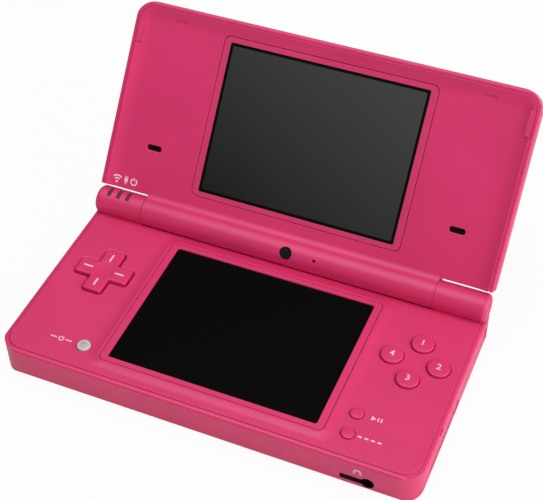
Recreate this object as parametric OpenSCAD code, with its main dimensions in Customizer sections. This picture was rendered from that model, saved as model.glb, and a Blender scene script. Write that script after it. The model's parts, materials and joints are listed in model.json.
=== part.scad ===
/* [Case] */
// Width across the case, left to right
case_w = 137; // [133:0.5:166]
// Depth of the case, front edge to back edge
case_d = 74.9; // [74:0.1:90]
// Height of the control face above the table
deck_z = 11.4; // [11.4:0.1:14]
// Corner radius of the case in plan
corner_r = 7; // [6:0.5:8.5]
// Wall of the outer shells, which is also the lip seen around the control face
shell_t = 1.4; // [1.2:0.1:1.6]
// Floor of the base and back of the lid
floor_t = 1.2; // [1:0.1:1.4]
// Thickness of the control plate
deck_t = 1.5; // [1.3:0.1:1.7]
// Radius of the lower edge of the base
base_edge_r = 1.6; // [0.8:0.1:2]
// Radius of the upper edge of the base wall
lip_edge_r = 0.9; // [0.4:0.1:1.1]
// Radius of the back edges of the lid
lid_edge_r = 2.6; // [1.5:0.1:3]

/* [Hinge] */
// Radius of the hinge barrel and its end knuckles
barrel_r = 4.8; // [4.6:0.1:5.8]
// Length of the middle barrel, which belongs to the lid
barrel_len = 101.8; // [96:0.1:104]
// Radius of the bore through barrel and knuckles
barrel_bore_r = 3.3; // [2.9:0.1:3.5]
// How far the barrel is sunk below the control face
barrel_sink = 2.1; // [1.9:0.1:2.3]
// Hinge axis forward of the rear face
axis_inset = 6.45; // [6.2:0.05:7.4]
// Opening angle of the lid at rest, 0 being closed
lid_open = 128; // [0:1:180]
// Length of the click cartridge in the right knuckle
cartridge_len = 11.5; // [9:0.5:12.5]
// Length of the hollow shaft in the left knuckle
shaft_len = 20; // [16:0.5:24]

/* [Screens] */
// Width of both visible windows
window_w = 68.4; // [60:0.2:70]
// Height of both visible windows
window_h = 50; // [44:0.2:51]
// Width of the lens over the upper screen
lens_w = 72.4; // [71:0.1:75]
// Height of the lens over the upper screen
lens_h = 53.2; // [52:0.1:55]
// Width of the frame around the lower screen
frame_w = 73.1; // [72.4:0.1:76]
// Height of the frame around the lower screen
frame_h = 53.5; // [53.2:0.1:56]
// Raised surround of the lower screen above the control face
surround_rise = 0.6; // [0.3:0.1:0.8]
// Width of the soft slope beside the raised surround
surround_slope = 3.4; // [1:0.1:3.6]
// Depth of the dish in the lid's inner face
dish_depth = 1.2; // [0.7:0.1:1.2]
// Width of the soft slope at the rim of that dish
dish_slope = 4.4; // [1:0.1:6]

/* [Controls] */
// Span of the direction pad
pad_span = 18.2; // [15:0.1:19]
// Width of one arm of the direction pad
pad_arm = 6.4; // [5:0.1:7]
// Tilt of the direction pad each way, degrees
pad_tilt = 2; // [1:0.1:2]
// Radius of a face button
face_button_r = 3.55; // [2.9:0.05:3.9]
// Distance of a face button from the middle of its group
face_button_pitch = 7.4; // [7:0.1:8.4]
// Radius of the start and select buttons
small_button_r = 2.05; // [1.7:0.05:2.5]
// Radius of the power button
power_button_r = 2.2; // [1.8:0.05:2.6]
// Button crowns above the control face
button_proud = 0.8; // [0.5:0.1:0.8]
// Small buttons above the control face
small_proud = 0.5; // [0.2:0.1:0.9]
// Travel of every round button
button_travel = 0.6; // [0.3:0.1:0.6]
// Width of a shoulder button along the rear edge
shoulder_w = 22; // [18:0.5:24]
// Height of a shoulder button
shoulder_h = 5; // [4:0.1:5]
// Length of the volume rocker
rocker_len = 13.4; // [10:0.1:16]
// Height of the volume rocker
rocker_h = 2.8; // [2:0.1:3]

/* [Inside] */
// Diameter of the stylus at its head
stylus_d = 4.6; // [3.8:0.1:4.6]
// Length of the stylus
stylus_len = 92; // [70:1:96]
// Width of the battery
battery_w = 56; // [40:1:60]
// Depth of the battery
battery_d = 24; // [18:0.5:24.5]
// Thickness of the battery
battery_t = 5.2; // [4:0.1:5.4]
// Thickness of the circuit board
board_t = 0.8; // [0.6:0.1:0.8]
// Width of the game card slot
card_w = 33.6; // [30:0.1:34]
// Height of the game card slot
card_h = 4.2; // [4.1:0.1:4.3]
// Radius of the headphone socket
jack_r = 1.8; // [1.7:0.05:1.9]
// Radius of the shank of the case screws
screw_r = 0.8; // [0.6:0.05:0.8]

/* [Hidden] */
$fn = 64;

// Clearances and small sizes
eps = 0.01;
seat_gap = 0.05;      // between pieces that rest on each other
fit_gap = 0.1;        // around a piece that is held in a pocket
line_gap = 0.15;      // the fine line around a cover or a lens
move_gap = 0.2;       // beside a moving piece
swing_gap = 0.3;      // around the turning barrel
over = 1;             // how far a cutter runs past what it cuts
wall_drop = 0.25;     // shell walls below the face or rim inside them
case_pink = [0.86, 0.20, 0.43];
light_pink = [0.92, 0.45, 0.60];
rubber_grey = [0.55, 0.55, 0.57];
board_green = [0.10, 0.35, 0.22];
steel_grey = [0.70, 0.71, 0.73];

// The case
half_w = case_w / 2;
half_d = case_d / 2;
wall_z = deck_z - wall_drop;
cavity_w = case_w - 2 * shell_t;
cavity_d = case_d - 2 * shell_t;
cavity_r = corner_r - shell_t;
deck_w = cavity_w - 2 * fit_gap;
deck_d = cavity_d - 2 * fit_gap;
deck_r = cavity_r - fit_gap;
deck_bottom = deck_z - deck_t;

// The hinge, and the lid laid flat: x across, y away from the axis, z out of its inner face
axis_rise = barrel_r - barrel_sink;
axis_y = half_d - axis_inset;
axis_z = deck_z + axis_rise;
barrel_half = barrel_len / 2;
knuckle_in = barrel_half + move_gap;
knuckle_inset = 0.2;
knuckle_out = half_w - knuckle_inset;
trough_r = barrel_r + swing_gap;
trough_z = axis_z - trough_r;
trough_t = 1;
trough_wall = 0.9;
trough_front = axis_y - trough_r - trough_wall;
trough_bottom = trough_z - trough_t;
lid_len = axis_y + half_d;
rim_n = axis_rise - move_gap;
face_n = rim_n - dish_depth;
back_n = -barrel_r;
lid_plate_t = 1.2;
lid_start = 6.6;
lid_wall_n = rim_n - wall_drop;
lid_boss_r = 2.1;
lid_boss_h = 1.3;     // bosses under the lid frame, over the posts of the cover
lid_post_r = 1.9;
lid_cavity_n = back_n + floor_t;
lid_corner_in = 2;
lid_hinge_wall = 1;
lid_lip_gap = 0.7;    // from the end knuckles to the lips of the lid beside the barrel
lid_lip_u = min(barrel_r + lid_lip_gap, lid_start);
lid_lip_n = -2;
lid_lip_r = 1;

// The stack under the control face, from the deck down
flange_top = deck_bottom - seat_gap;
flange_t = 0.7;
button_edge_r = 0.35;
flange_bottom = flange_top - flange_t;
dome_gap = 0.1;
dome_top = flange_bottom - button_travel - dome_gap;
dome_h = 0.25;
sheet_t = 0.25;
board_top = dome_top - dome_h - sheet_t - seat_gap;
board_bottom = board_top - board_t;
bay_top = board_bottom - 2 * fit_gap;

// Screens
screen_shift = 0.8;   // windows nearer the front edge than midway to the hinge
screen_y = (axis_y - half_d) / 2 - screen_shift;
frame_z = deck_z + surround_rise;
frame_t = 0.55;
touch_top = frame_z - frame_t - seat_gap;
touch_t = 0.8;
lower_lcd_top = touch_top - touch_t - seat_gap;
tray_t = 0.25;
lower_lcd_bottom = board_top + seat_gap + tray_t + seat_gap;
lower_lcd_w = frame_w - 1.5;
lower_lcd_h = frame_h - 0.9;
frame_corner_r = 1.5;
window_corner_r = 0.8;
plateau_w = 1;        // level strip beside the lower frame
plateau_r = 2.5;
surround_slope_y = 2.3;  // the slope at the front and back of the surround
surround_foot_r = 4;
lens_shift = 2.1;     // lens beyond the middle of the lid
lens_u = lid_len / 2 + lens_shift;
lens_corner_r = 2;
dish_margin = 0.4;    // top of the rim beside the dish
dish_corner_r = 3.5;
lens_t = 0.75;
upper_lcd_w = lens_w - 0.8;
upper_lcd_h = lens_h + 2.4;
upper_lcd_t = 2.4;
plate_back_n = face_n - lid_plate_t;

// Controls on the deck
pad_x = -(half_w - 16.3);
pad_y = screen_y + 6.7;
pad_flange_r = pad_span / 2 + 1.1;
pad_flange_rise = pad_flange_r * sin(pad_tilt * sqrt(2)) + fit_gap;  // tipped towards a corner
pad_flange_t = 0.5;
pad_flange_top = deck_bottom - pad_flange_rise;
pad_flange_bottom = pad_flange_top - pad_flange_t;
pad_sheet_top = board_top + seat_gap + sheet_t;
pad_well = 0.3;       // gap all round the pad
pad_corner_r = 0.8;
pad_dish_r = 30;
pad_dish = 0.3;       // depth of the thumb dish
pivot_r = 0.85;
pivot_z = pad_sheet_top + seat_gap + pivot_r;
group_x = half_w - 15.4;
group_y = screen_y + 8.5;
face_buttons = [
    [group_x, group_y + face_button_pitch], [group_x - face_button_pitch, group_y],
    [group_x + face_button_pitch, group_y], [group_x, group_y - face_button_pitch]
];
small_x = half_w - 24.9;
start_y = -half_d + 16.85;
select_y = -half_d + 9.15;
power_x = -(half_w - 25.4);
power_y = -half_d + 9.75;
face_flange_r = face_button_r + 0.8;
small_flange_r = small_button_r + 0.8;
power_flange_r = power_button_r + 0.8;

// Shoulder buttons
shoulder_z = 2.4;
shoulder_top = shoulder_z + shoulder_h;
shoulder_wall = 2.2;
shoulder_side_y = half_d - 7.95;
shoulder_in_x = half_w - shoulder_w;
shoulder_pin_x = shoulder_in_x + 2.0;
shoulder_pin_y = half_d - 4.25;
shoulder_pin_r = 0.9;
shoulder_eye_r = 2.2;
shoulder_stroke = 1.3;
shoulder_eye_h = shoulder_h * 0.6;
shoulder_edge_r = 2.2;
shoulder_pin_seat = 0.7;  // depth of the pin's blind hole in the deck
shoulder_boss_t = 0.8;    // wall round that hole

// Volume rocker
rocker_y = screen_y + 13;
rocker_z = 5.8;
rocker_proud = 0.4;
rocker_pin_r = 0.5;
rocker_pin_x = -(half_w - shell_t - 0.6);
rocker_depth = 2.6;
rocker_lug_w = 4.4;
shelf_w = 3;
shelf_reach = 2.4;
shelf_t = 1.2;

// Stylus and its silo
stylus_r = stylus_d / 2;
silo_in_r = stylus_r + fit_gap;
silo_out_r = silo_in_r + 0.5;
silo_y = -half_d + 35.45;
silo_z = floor_t + seat_gap + silo_out_r;
stylus_head_len = 6.3;
stylus_tip_len = 4.5;
stylus_end_x = half_w - 0.2;
stylus_neck_r = stylus_r * 0.82;
stylus_tip_r = 0.7;
silo_end_t = 0.6;

// Memory card slot on the right side
memory_y = -half_d + 20.45;
memory_len = 20;
memory_low = 3.4;
memory_high = 9.7;
memory_pin_r = 0.3;
memory_axis_x = half_w - 0.75;
memory_axis_z = memory_low + 0.7;
memory_reader_y = memory_y + 2;
memory_eye_r = 0.65;
memory_reader_w = 13;
memory_reader_d = 15;
memory_reader_h = 2.9;
memory_slot_w = 11.4;
memory_slot_h = 1.4;
memory_wall = 0.6;
notch_r = 1.9;
notch_h = 1.2;

// Rear and front connectors
card_bay_d = 33;
reader_wall = 0.9;
card_low = floor_t + seat_gap + reader_wall;
reader_w = card_w + 2 * reader_wall;
reader_front = half_d - shell_t - fit_gap - card_bay_d - reader_wall;
charge_x = 35;
charge_w = 10;
charge_wall = 0.8;
charge_d = 9;
charge_low = 2.4;
charge_high = 5.9;
charge_tongue_w = 6;
charge_tongue_low = 3.8;
charge_tongue_high = 4.5;
port_low = floor_t + 0.2;     // underside of the connector bodies
jack_x = half_w - 15.3;
jack_z = 3.7;
jack_len = 14;
jack_slot_w = 8.3;
jack_slot_h = 1.6;
jack_slot_d = 4;
jack_body_w = 8.4;
jack_wall = 1;
strap_x = 43.4;
strap_w = 3.8;
strap_low = 3;
strap_high = 6.4;
strap_post_r = 0.6;

// Battery and its cover
battery_x = -10;
battery_y = -half_d + 17.85;
cover_w = battery_w + 10;
cover_d = battery_d + 4.2;
cover_corner_r = 1.9;
cover_screw_x = cover_w / 2 - 2;
cover_sink = 0.6;     // depth of the counterbore for a cover screw
tab_w = 6;
tab_lap = 4.4;
tab_root = 2.5;
tab_top = floor_t + 2.4;

// Screws
head_r = screw_r + 0.6;
pilot_r = screw_r + 0.05;
head_t = 0.8;
cross_w = 0.4;        // slots of the cross in a screw head
cross_len = 1.8;
pad_r = head_r + 0.9;
pad_depth = 0.5;
boss_r = 2.4;
standoff_r = 3.4;
corner_screws = [for (sx = [-1, 1], y = [-half_d + 5.95, screen_y + 26.0]) [sx * (half_w - 5.5), y]];
rear_screws = [for (sx = [-1, 1]) [sx * 22.5, half_d - 7.45]];
lid_screws_at = [
    for (sx = [-1, 1]) [sx * (half_w - 16.2), lid_len - 6.45],
    for (sx = [-1, 1]) [sx * (half_w - 15.6), lid_start + 3.2]
];
speaker_x = half_w - 16.0;
speaker_u = lid_start + 14.6;
speaker_r = 6.5;
speaker_t = 2.6;
speaker_rim_t = 1.6;
sound_slot_w = 5.3;
sound_slot_h = 1.9;

// Small parts of the lid and the hinge
bumper_w = 1.8;
bumper_len = 8.5;
bumper_t = 0.95;
bumper_proud = 0.1;
bumper_x = half_w - 2.5;
bumper_u = lid_len - 9.9;
screw_cover_w = 4;
screw_cover_t = 0.43;
screw_cover_depth = 0.5;  // pocket of a cover
cover_screw_low = 0.08;   // battery cover screw: its head's face, its head, its shank
cover_screw_head = 0.5;
cover_screw_shank = 2.7;
lid_screw_top = 0.45;     // lid screw: its head's face above the plate's back, its shank
lid_screw_shank = 2.6;
camera_x = 1.2;
camera_r = 2.2;
camera_window_r = 2.05;
camera_window_n = 3.85;
camera_window_t = 0.4;
mic_x = 11;
mic_r = 1.6;
mic_hole_r = 0.55;
outer_camera_x = half_w - 12;
outer_camera_u = lid_len - 19;
outer_camera_r = 2.5;
magnet_r = 1.8;
magnet_t = 1.2;
light_xs = [for (k = [0:2]) -(half_w - 4.75) + 3.45 * k];
light_w = 1.3;
light_from = 64;      // angles of the lights round the knuckle
light_to = 107;
spindle_r = 1.3;
spindle_len = 10;
spindle_gap = 0.06;
cable_r = 1.8;
cable_bore_r = 1.45;
cable_from = -41;     // strip of the cable that enters the lid
cable_to = -37;
cable_t = 0.3;
cable_n = -1.1;       // underside of that strip

// ---------- Shared shapes ----------

// A plan outline with round corners, centred
module round_plan(w, d, r) {
    square([w - 2 * r, d], center = true);
    square([w, d - 2 * r], center = true);
    for (sx = [-1, 1], sy = [-1, 1])
        translate([sx * (w / 2 - r), sy * (d / 2 - r)]) circle(r);
}

module round_block(w, d, r, low, high) {
    translate([0, 0, low]) linear_extrude(high - low) round_plan(w, d, r);
}

// A section w wide from low to high, with its own radius at the foot and at the head
module edge_section(w, low, high, foot_r, head_r) {
    translate([-w / 2, low + foot_r]) square([w, high - low - foot_r - head_r]);
    translate([-w / 2 + foot_r, low]) square([w - 2 * foot_r, foot_r + eps]);
    translate([-w / 2 + head_r, high - head_r - eps]) square([w - 2 * head_r, head_r + eps]);
    for (s = [-1, 1]) {
        translate([s * (w / 2 - foot_r), low + foot_r]) circle(foot_r);
        translate([s * (w / 2 - head_r), high - head_r]) circle(head_r);
    }
}

module along_x(len) {
    rotate([90, 0, 90]) linear_extrude(len, center = true) children();
}

module along_y(len) {
    rotate([90, 0, 0]) linear_extrude(len, center = true) children();
}

// A straight rod along X between two stations
module rod_x(x0, x1, r) {
    translate([x0, 0, 0]) rotate([0, 90, 0]) cylinder(h = x1 - x0, r = r);
}

module tube(h, r_out, r_in) {
    difference() {
        cylinder(h = h, r = r_out);
        translate([0, 0, -1]) cylinder(h = h + 2, r = r_in);
    }
}

// A box given by its two corners
module span(low, high) {
    translate(low) cube(high - low);
}

// Places its children on the hinge axis
module at_axis() {
    translate([0, axis_y, axis_z]) children();
}

// Stands a lid part, drawn flat, at its resting angle
module on_lid() {
    at_axis() rotate([180 - lid_open, 0, 0]) children();
}

module cross_plan(span_len, arm, r) {
    round_plan(span_len, arm, r);
    round_plan(arm, span_len, r);
}

// ---------- Base shells ----------

// Plan of a shoulder button, drawn for the left side
module shoulder_plan(gap) {
    difference() {
        intersection() {
            round_plan(case_w, case_d, corner_r);
            translate([-half_w - 1, shoulder_side_y - gap])
                square([shoulder_w + 1 + gap, 20]);
        }
        translate([-half_w + shoulder_wall, 0])
            square([case_w, half_d - shoulder_wall]);
    }
}

module standoff(at, top) {
    translate([at[0], at[1], floor_t - eps]) {
        cylinder(h = board_bottom - seat_gap - floor_t, r = standoff_r);
        cylinder(h = top - floor_t, r = boss_r);
    }
}

module rocker_shelf(low) {
    span([-(half_w - shell_t + eps), rocker_y - shelf_w / 2, low],
         [-(half_w - shell_t - shelf_reach), rocker_y + shelf_w / 2, low + shelf_t]);
}

// Tab over the right end of the battery cover, drawn from the battery's middle
module cover_tab() {
    edge_x = cover_w / 2 + line_gap;
    span([edge_x - tab_lap, -tab_w / 2, floor_t + seat_gap], [edge_x, tab_w / 2, tab_top]);
    span([edge_x - eps, -tab_w / 2, floor_t / 2], [edge_x + tab_root, tab_w / 2, tab_top]);
}

module headphone_mouth(depth) {
    translate([jack_x, 0, jack_z]) rotate([90, 0, 0]) {
        cylinder(h = depth, r = jack_r);
        translate([-jack_slot_w, -jack_slot_h / 2 - fit_gap, 0])
            cube([jack_slot_w, jack_slot_h, depth]);
    }
}

module housing_shell() difference() {
    union() {
        difference() {
            intersection() {
                round_block(case_w, case_d, corner_r, 0, wall_z);
                along_x(case_w + 2) edge_section(case_d, 0, wall_z, base_edge_r, lip_edge_r);
                along_y(case_d + 2) edge_section(case_w, 0, wall_z, base_edge_r, lip_edge_r);
            }
            round_block(cavity_w, cavity_d, cavity_r, floor_t, wall_z + 1);
        }
        for (at = corner_screws) standoff(at, deck_bottom - fit_gap);
        for (at = rear_screws) standoff(at, trough_bottom - fit_gap);
        for (sx = [-1, 1])
            translate([sx * shoulder_pin_x, shoulder_pin_y, floor_t - eps])
                cylinder(h = shoulder_z - fit_gap - floor_t, r = shoulder_eye_r);
        rocker_shelf(rocker_z - rocker_h / 2 - move_gap - shelf_t);
        rocker_shelf(rocker_z + rocker_h / 2 + move_gap);
    }
    // rear wall lowered under the middle barrel
    span([-knuckle_in, axis_y + 3, trough_z], [knuckle_in, half_d + 1, deck_z + 1]);
    // openings of the shoulder buttons
    for (side = [0, 1]) mirror([side, 0, 0])
        translate([0, 0, shoulder_z - move_gap]) linear_extrude(shoulder_h + 2 * move_gap)
            intersection() {
                round_plan(case_w + 1, case_d + 1, corner_r);
                difference() {
                    translate([-half_w - 1, shoulder_side_y - shoulder_stroke])
                        square([shoulder_w + 1 + move_gap, 20]);
                    round_plan(cavity_w - eps, cavity_d - eps, cavity_r);
                }
            }
    for (sx = [-1, 1]) translate([sx * shoulder_pin_x, shoulder_pin_y, floor_t])
        cylinder(h = 3, r = shoulder_pin_r + seat_gap);
    // rocker slot and its pin holes
    span([-half_w - 1, rocker_y - rocker_len / 2 - move_gap, rocker_z - rocker_h / 2 - move_gap],
         [-(half_w - shell_t - eps), rocker_y + rocker_len / 2 + move_gap,
          rocker_z + rocker_h / 2 + move_gap]);
    translate([rocker_pin_x, rocker_y, rocker_z - rocker_h / 2 - move_gap - 0.9])
        cylinder(h = rocker_h + 2 * (move_gap + shelf_t), r = rocker_pin_r + seat_gap);
    // stylus mouth
    translate([0, silo_y, silo_z]) rod_x(half_w - shell_t - 1, half_w + 1, silo_in_r);
    // memory card mouth, its pin holes and the finger notch
    span([half_w - shell_t - 1, memory_y - memory_len / 2 - line_gap, memory_low - line_gap],
         [half_w + 1, memory_y + memory_len / 2 + line_gap, memory_high + line_gap]);
    translate([memory_axis_x, memory_y, memory_axis_z]) rotate([90, 0, 0])
        cylinder(h = memory_len + 2, r = memory_pin_r + seat_gap, center = true);
    translate([half_w + notch_r / 2, memory_y, memory_high]) cylinder(h = notch_h, r = notch_r);
    // rear mouths: game card, charging lead, wrist strap
    span([-card_w / 2, half_d - shell_t - 1, card_low],
         [card_w / 2, half_d + 1, card_low + card_h]);
    span([charge_x - charge_w / 2 + charge_wall, half_d - shell_t - 1, charge_low],
         [charge_x + charge_w / 2 - charge_wall, half_d + 1, charge_high]);
    difference() {
        span([strap_x - strap_w / 2, half_d - shell_t - 1, strap_low],
             [strap_x + strap_w / 2, half_d + 1, strap_high]);
        translate([strap_x, half_d - strap_post_r - move_gap, 0]) cylinder(h = deck_z, r = strap_post_r);
    }
    // headphone mouth
    translate([0, -half_d + shell_t + 1, 0]) headphone_mouth(shell_t + 2);
    // battery opening
    translate([battery_x, battery_y, 0])
        round_block(cover_w + 2 * line_gap, cover_d + 2 * line_gap, cover_corner_r + line_gap,
                    -1, floor_t + eps);
    // case screws
    for (at = concat(corner_screws, rear_screws)) translate([at[0], at[1], 0]) {
        translate([0, 0, -1]) cylinder(h = 1 + pad_depth + seat_gap, r = pad_r);
        cylinder(h = pad_depth + head_t + 2 * seat_gap, r = head_r + seat_gap);
        cylinder(h = deck_z, r = pilot_r);
    }
}

module battery_tabs() translate([battery_x, battery_y, 0])
    for (side = [0, 1]) mirror([side, 0, 0]) difference() {
        cover_tab();
        translate([cover_screw_x, 0, 0]) cylinder(h = deck_z, r = pilot_r);
    }

// The housing with the tabs that the battery cover screws into
module base_housing() color(case_pink) {
    housing_shell();
    battery_tabs();
}

// One end of the hinge, drawn for the right side; its outer end rides over the housing wall
module knuckle() {
    difference() {
        intersection() {
            at_axis() rod_x(knuckle_in, half_w, barrel_r);
            round_block(2 * knuckle_out, case_d - 2 * knuckle_inset, corner_r - knuckle_inset, 0,
                        deck_z + 2 * barrel_r);
        }
        difference() {
            span([0, 0, 0], [half_w + 1, half_d + 1, wall_z + fit_gap]);
            round_block(deck_w, deck_d, deck_r, -1, deck_z + 1);
        }
    }
    // block that carries it
    intersection() {
        span([knuckle_in, axis_y - barrel_r + 0.3, trough_z], [half_w, deck_d / 2 - 2, deck_z]);
        round_block(deck_w, deck_d, deck_r, 0, deck_z);
    }
}

// Slots for the three status lights, running round the left knuckle
module light_slot(r_in, r_out, w, a0, a1) {
    rotate([0, 90, 0]) rotate([0, 0, 270 - a1])
        translate([0, 0, -w / 2]) rotate_extrude(angle = a1 - a0)
            translate([r_in, 0]) square([r_out - r_in, w]);
}

module base_deck() color(case_pink) difference() {
    union() {
        round_block(deck_w, deck_d, deck_r, deck_bottom, deck_z);
        // raised surround of the screen, with soft slopes
        translate([0, screen_y, 0]) hull() {
            round_block(frame_w + 2 * plateau_w, frame_h + 2 * plateau_w, plateau_r, frame_z - 0.1, frame_z);
            round_block(frame_w + 2 * (plateau_w + surround_slope),
                        frame_h + 2 * (plateau_w + surround_slope_y), surround_foot_r,
                        deck_z - 0.5, deck_z);
        }
        // floor of the trough and the block under each knuckle
        span([-knuckle_in - 2, trough_front, trough_bottom], [knuckle_in + 2, deck_d / 2, deck_z]);
        for (side = [0, 1]) mirror([side, 0, 0]) knuckle();
        // bosses that take the tops of the shoulder pins
        for (sx = [-1, 1]) translate([sx * shoulder_pin_x, shoulder_pin_y, trough_bottom])
            cylinder(h = deck_bottom + eps - trough_bottom, r = shoulder_pin_r + shoulder_boss_t);
    }
    // trough for the middle barrel, open to the rear
    at_axis() rod_x(-knuckle_in, knuckle_in, trough_r);
    span([-knuckle_in, axis_y, trough_z], [knuckle_in, half_d + 1, axis_z + barrel_r + 1]);
    // bores of the knuckles
    at_axis() for (side = [0, 1]) mirror([side, 0, 0])
        rod_x(knuckle_in - eps, knuckle_in + cartridge_len, barrel_bore_r);
    for (x = light_xs) translate([x, 0, 0])
        at_axis() light_slot(barrel_bore_r - 1, barrel_r + 1, light_w + fit_gap,
                             light_from - 1, light_to + 1);
    // screen opening
    translate([0, screen_y, 0])
        round_block(frame_w + 2 * line_gap, frame_h + 2 * line_gap, frame_corner_r + fit_gap,
                    deck_bottom - 4, frame_z + over);
    // control openings
    translate([pad_x, pad_y, deck_bottom - 1]) linear_extrude(deck_t + 2)
        cross_plan(pad_span + 2 * pad_well, pad_arm + 2 * pad_well, pad_corner_r + pad_well);
    for (at = face_buttons) translate([at[0], at[1], deck_bottom - 1])
        cylinder(h = deck_t + 2, r = face_button_r + move_gap);
    for (y = [start_y, select_y]) translate([small_x, y, deck_bottom - 1])
        cylinder(h = deck_t + 2, r = small_button_r + line_gap);
    translate([power_x, power_y, deck_bottom - 1])
        cylinder(h = deck_t + 2, r = power_button_r + line_gap);
    // blind holes for the screws and the shoulder pins
    for (at = corner_screws) translate([at[0], at[1], deck_bottom - 1])
        cylinder(h = 1 + deck_t - 0.5, r = pilot_r);
    for (at = rear_screws) translate([at[0], at[1], trough_bottom - 1])
        cylinder(h = 1 + trough_t - 0.3, r = pilot_r);
    for (sx = [-1, 1]) translate([sx * shoulder_pin_x, shoulder_pin_y, trough_bottom - 1])
        cylinder(h = 1 + shoulder_pin_seat, r = shoulder_pin_r + seat_gap);
}

// ---------- Battery ----------

module battery_cover() color(case_pink) translate([battery_x, battery_y, 0]) difference() {
    round_block(cover_w, cover_d, cover_corner_r, 0, floor_t);
    for (side = [-1, 1]) translate([side * cover_screw_x, 0, 0]) {
        translate([0, 0, -1]) cylinder(h = 1 + cover_sink, r = head_r + seat_gap);
        cylinder(h = 2 * floor_t, r = pilot_r);
    }
}

module small_screw(low, head_h, shank_h) {
    translate([0, 0, low]) {
        difference() {
            cylinder(h = head_h, r = head_r);
            for (a = [0, 90]) rotate([0, 0, a])
                translate([-cross_len / 2, -cross_w / 2, -1]) cube([cross_len, cross_w, 1 + head_h * 0.55]);
        }
        translate([0, 0, head_h - eps]) cylinder(h = shank_h, r = screw_r);
    }
}

module battery_cover_screws() color(steel_grey)
    for (side = [-1, 1]) translate([battery_x + side * cover_screw_x, battery_y, 0])
        small_screw(cover_screw_low, cover_screw_head, cover_screw_shank);

module battery_pack() color([0.30, 0.31, 0.33])
    translate([battery_x, battery_y, floor_t + seat_gap]) {
        difference() {
            round_block(battery_w, battery_d, 1.5, 0, battery_t);
            translate([battery_w / 2 - 6, -4, battery_t - 0.4]) cube([7, 8, 1]);
        }
    }

// ---------- Board and what is on it ----------

module main_board() color(board_green) difference() {
    board_w = cavity_w - 5.6;
    board_front = -half_d + 3.45;
    board_back = trough_front - move_gap;
    span([-board_w / 2, board_front, board_bottom], [board_w / 2, board_back, board_top]);
    for (at = corner_screws) translate([at[0], at[1], 0]) {
        hole_r = boss_r + move_gap;
        cylinder(h = 20, r = hole_r);
        // open to the nearest side edge, and the front pair to the front edge too
        span([at[0] > 0 ? 0 : -10, -hole_r, 0], [at[0] > 0 ? 10 : 0, hole_r, 20]);
        if (at[1] < 0) span([at[0] > 0 ? -hole_r : -10, -10, 0], [at[0] > 0 ? 10 : hole_r, 0, 20]);
    }
    // mounting holes that locate the board
    for (x = [-30, 30]) translate([x, board_back - 3, 0]) cylinder(h = 20, r = 1);
}

module radio_module() color([0.55, 0.57, 0.55])
    translate([power_x - 10, power_y + 7.8, bay_top - 2]) {
        span([-7, -8, 0], [7, 8, 0.6]);
        span([-6, -7, 0.6 - eps], [4, 5, 2]);
    }

module antenna() color([0.80, 0.66, 0.30])
    translate([power_x - 10, power_y - 5.8, bay_top - 0.4]) {
        span([-6.5, -0.7, 0], [6.5, 0.7, 0.4]);
        span([-1, 0, 0], [1, 5.4, 0.4]);
    }

module lower_lcd_tray() color(steel_grey) translate([0, screen_y, 0]) difference() {
    round_block(lower_lcd_w, lower_lcd_h, 1, board_top + seat_gap, board_top + seat_gap + tray_t);
    round_block(lower_lcd_w - 12, lower_lcd_h - 12, 2, board_top - 1, board_top + 2);
}

module lower_lcd() color([0.08, 0.08, 0.09]) translate([0, screen_y, 0])
    round_block(lower_lcd_w, lower_lcd_h, window_corner_r, lower_lcd_bottom, lower_lcd_top);

module touch_panel() color([0.05, 0.05, 0.05]) translate([0, screen_y, 0])
    round_block(lower_lcd_w, lower_lcd_h, window_corner_r, touch_top - touch_t, touch_top);

module lower_screen_frame() color(case_pink) translate([0, screen_y, 0]) difference() {
    round_block(frame_w, frame_h, frame_corner_r, frame_z - frame_t, frame_z);
    round_block(window_w, window_h, window_corner_r, frame_z - frame_t - over, frame_z + over);
}

// ---------- Direction pad ----------

module dpad() color(case_pink) translate([pad_x, pad_y, 0]) {
    difference() {
        union() {
            translate([0, 0, pad_flange_bottom]) cylinder(h = pad_flange_t, r = pad_flange_r);
            translate([0, 0, pad_flange_top - eps])
                linear_extrude(deck_z + button_proud - pad_flange_top)
                    cross_plan(pad_span, pad_arm, pad_corner_r);
        }
        // shallow thumb dish
        translate([0, 0, deck_z + button_proud + pad_dish_r - pad_dish]) sphere(r = pad_dish_r);
        // socket of the ball that it tips on
        translate([0, 0, pivot_z]) sphere(r = pivot_r + seat_gap);
    }
}

module dpad_pivot() color(rubber_grey) translate([pad_x, pad_y, pivot_z]) sphere(r = pivot_r);

module dpad_membrane() color(rubber_grey)
    translate([pad_x, pad_y, board_top + seat_gap]) cylinder(h = sheet_t, r = pad_flange_r - 0.6);

// ---------- Round buttons ----------

module round_button(at, r, flange_r, proud) {
    top = deck_z + proud;
    edge = min(button_edge_r, r / 5);
    translate([at[0], at[1], 0]) rotate_extrude() {
        translate([0, flange_bottom]) square([flange_r, flange_t]);
        translate([0, flange_bottom]) square([r, top - edge - flange_bottom]);
        translate([0, top - edge - eps]) square([r - edge, edge + eps]);
        translate([r - edge, top - edge]) intersection() {
            circle(edge);
            square(edge);
        }
    }
}

module face_button(k) color(case_pink)
    round_button(face_buttons[k], face_button_r, face_flange_r, button_proud);

module button_top() face_button(0);
module button_left() face_button(1);
module button_right() face_button(2);
module button_bottom() face_button(3);

// Rubber sheet with a dome under each button, joined by a web of half width spine
module membrane(places, r, spine) translate([0, 0, board_top + seat_gap]) {
    last = len(places) - 1;
    mid = (places[0] + places[last]) / 2;
    reach = norm(places[0] - places[last]) / 2;
    for (at = places) translate([at[0], at[1], 0]) {
        cylinder(h = sheet_t, r = r);
        cylinder(h = sheet_t + dome_h, r = r / 2.4);
    }
    if (spine > 0) translate([mid[0] - spine, mid[1] - reach, 0])
        cube([2 * spine, 2 * reach, sheet_t]);
}

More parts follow.
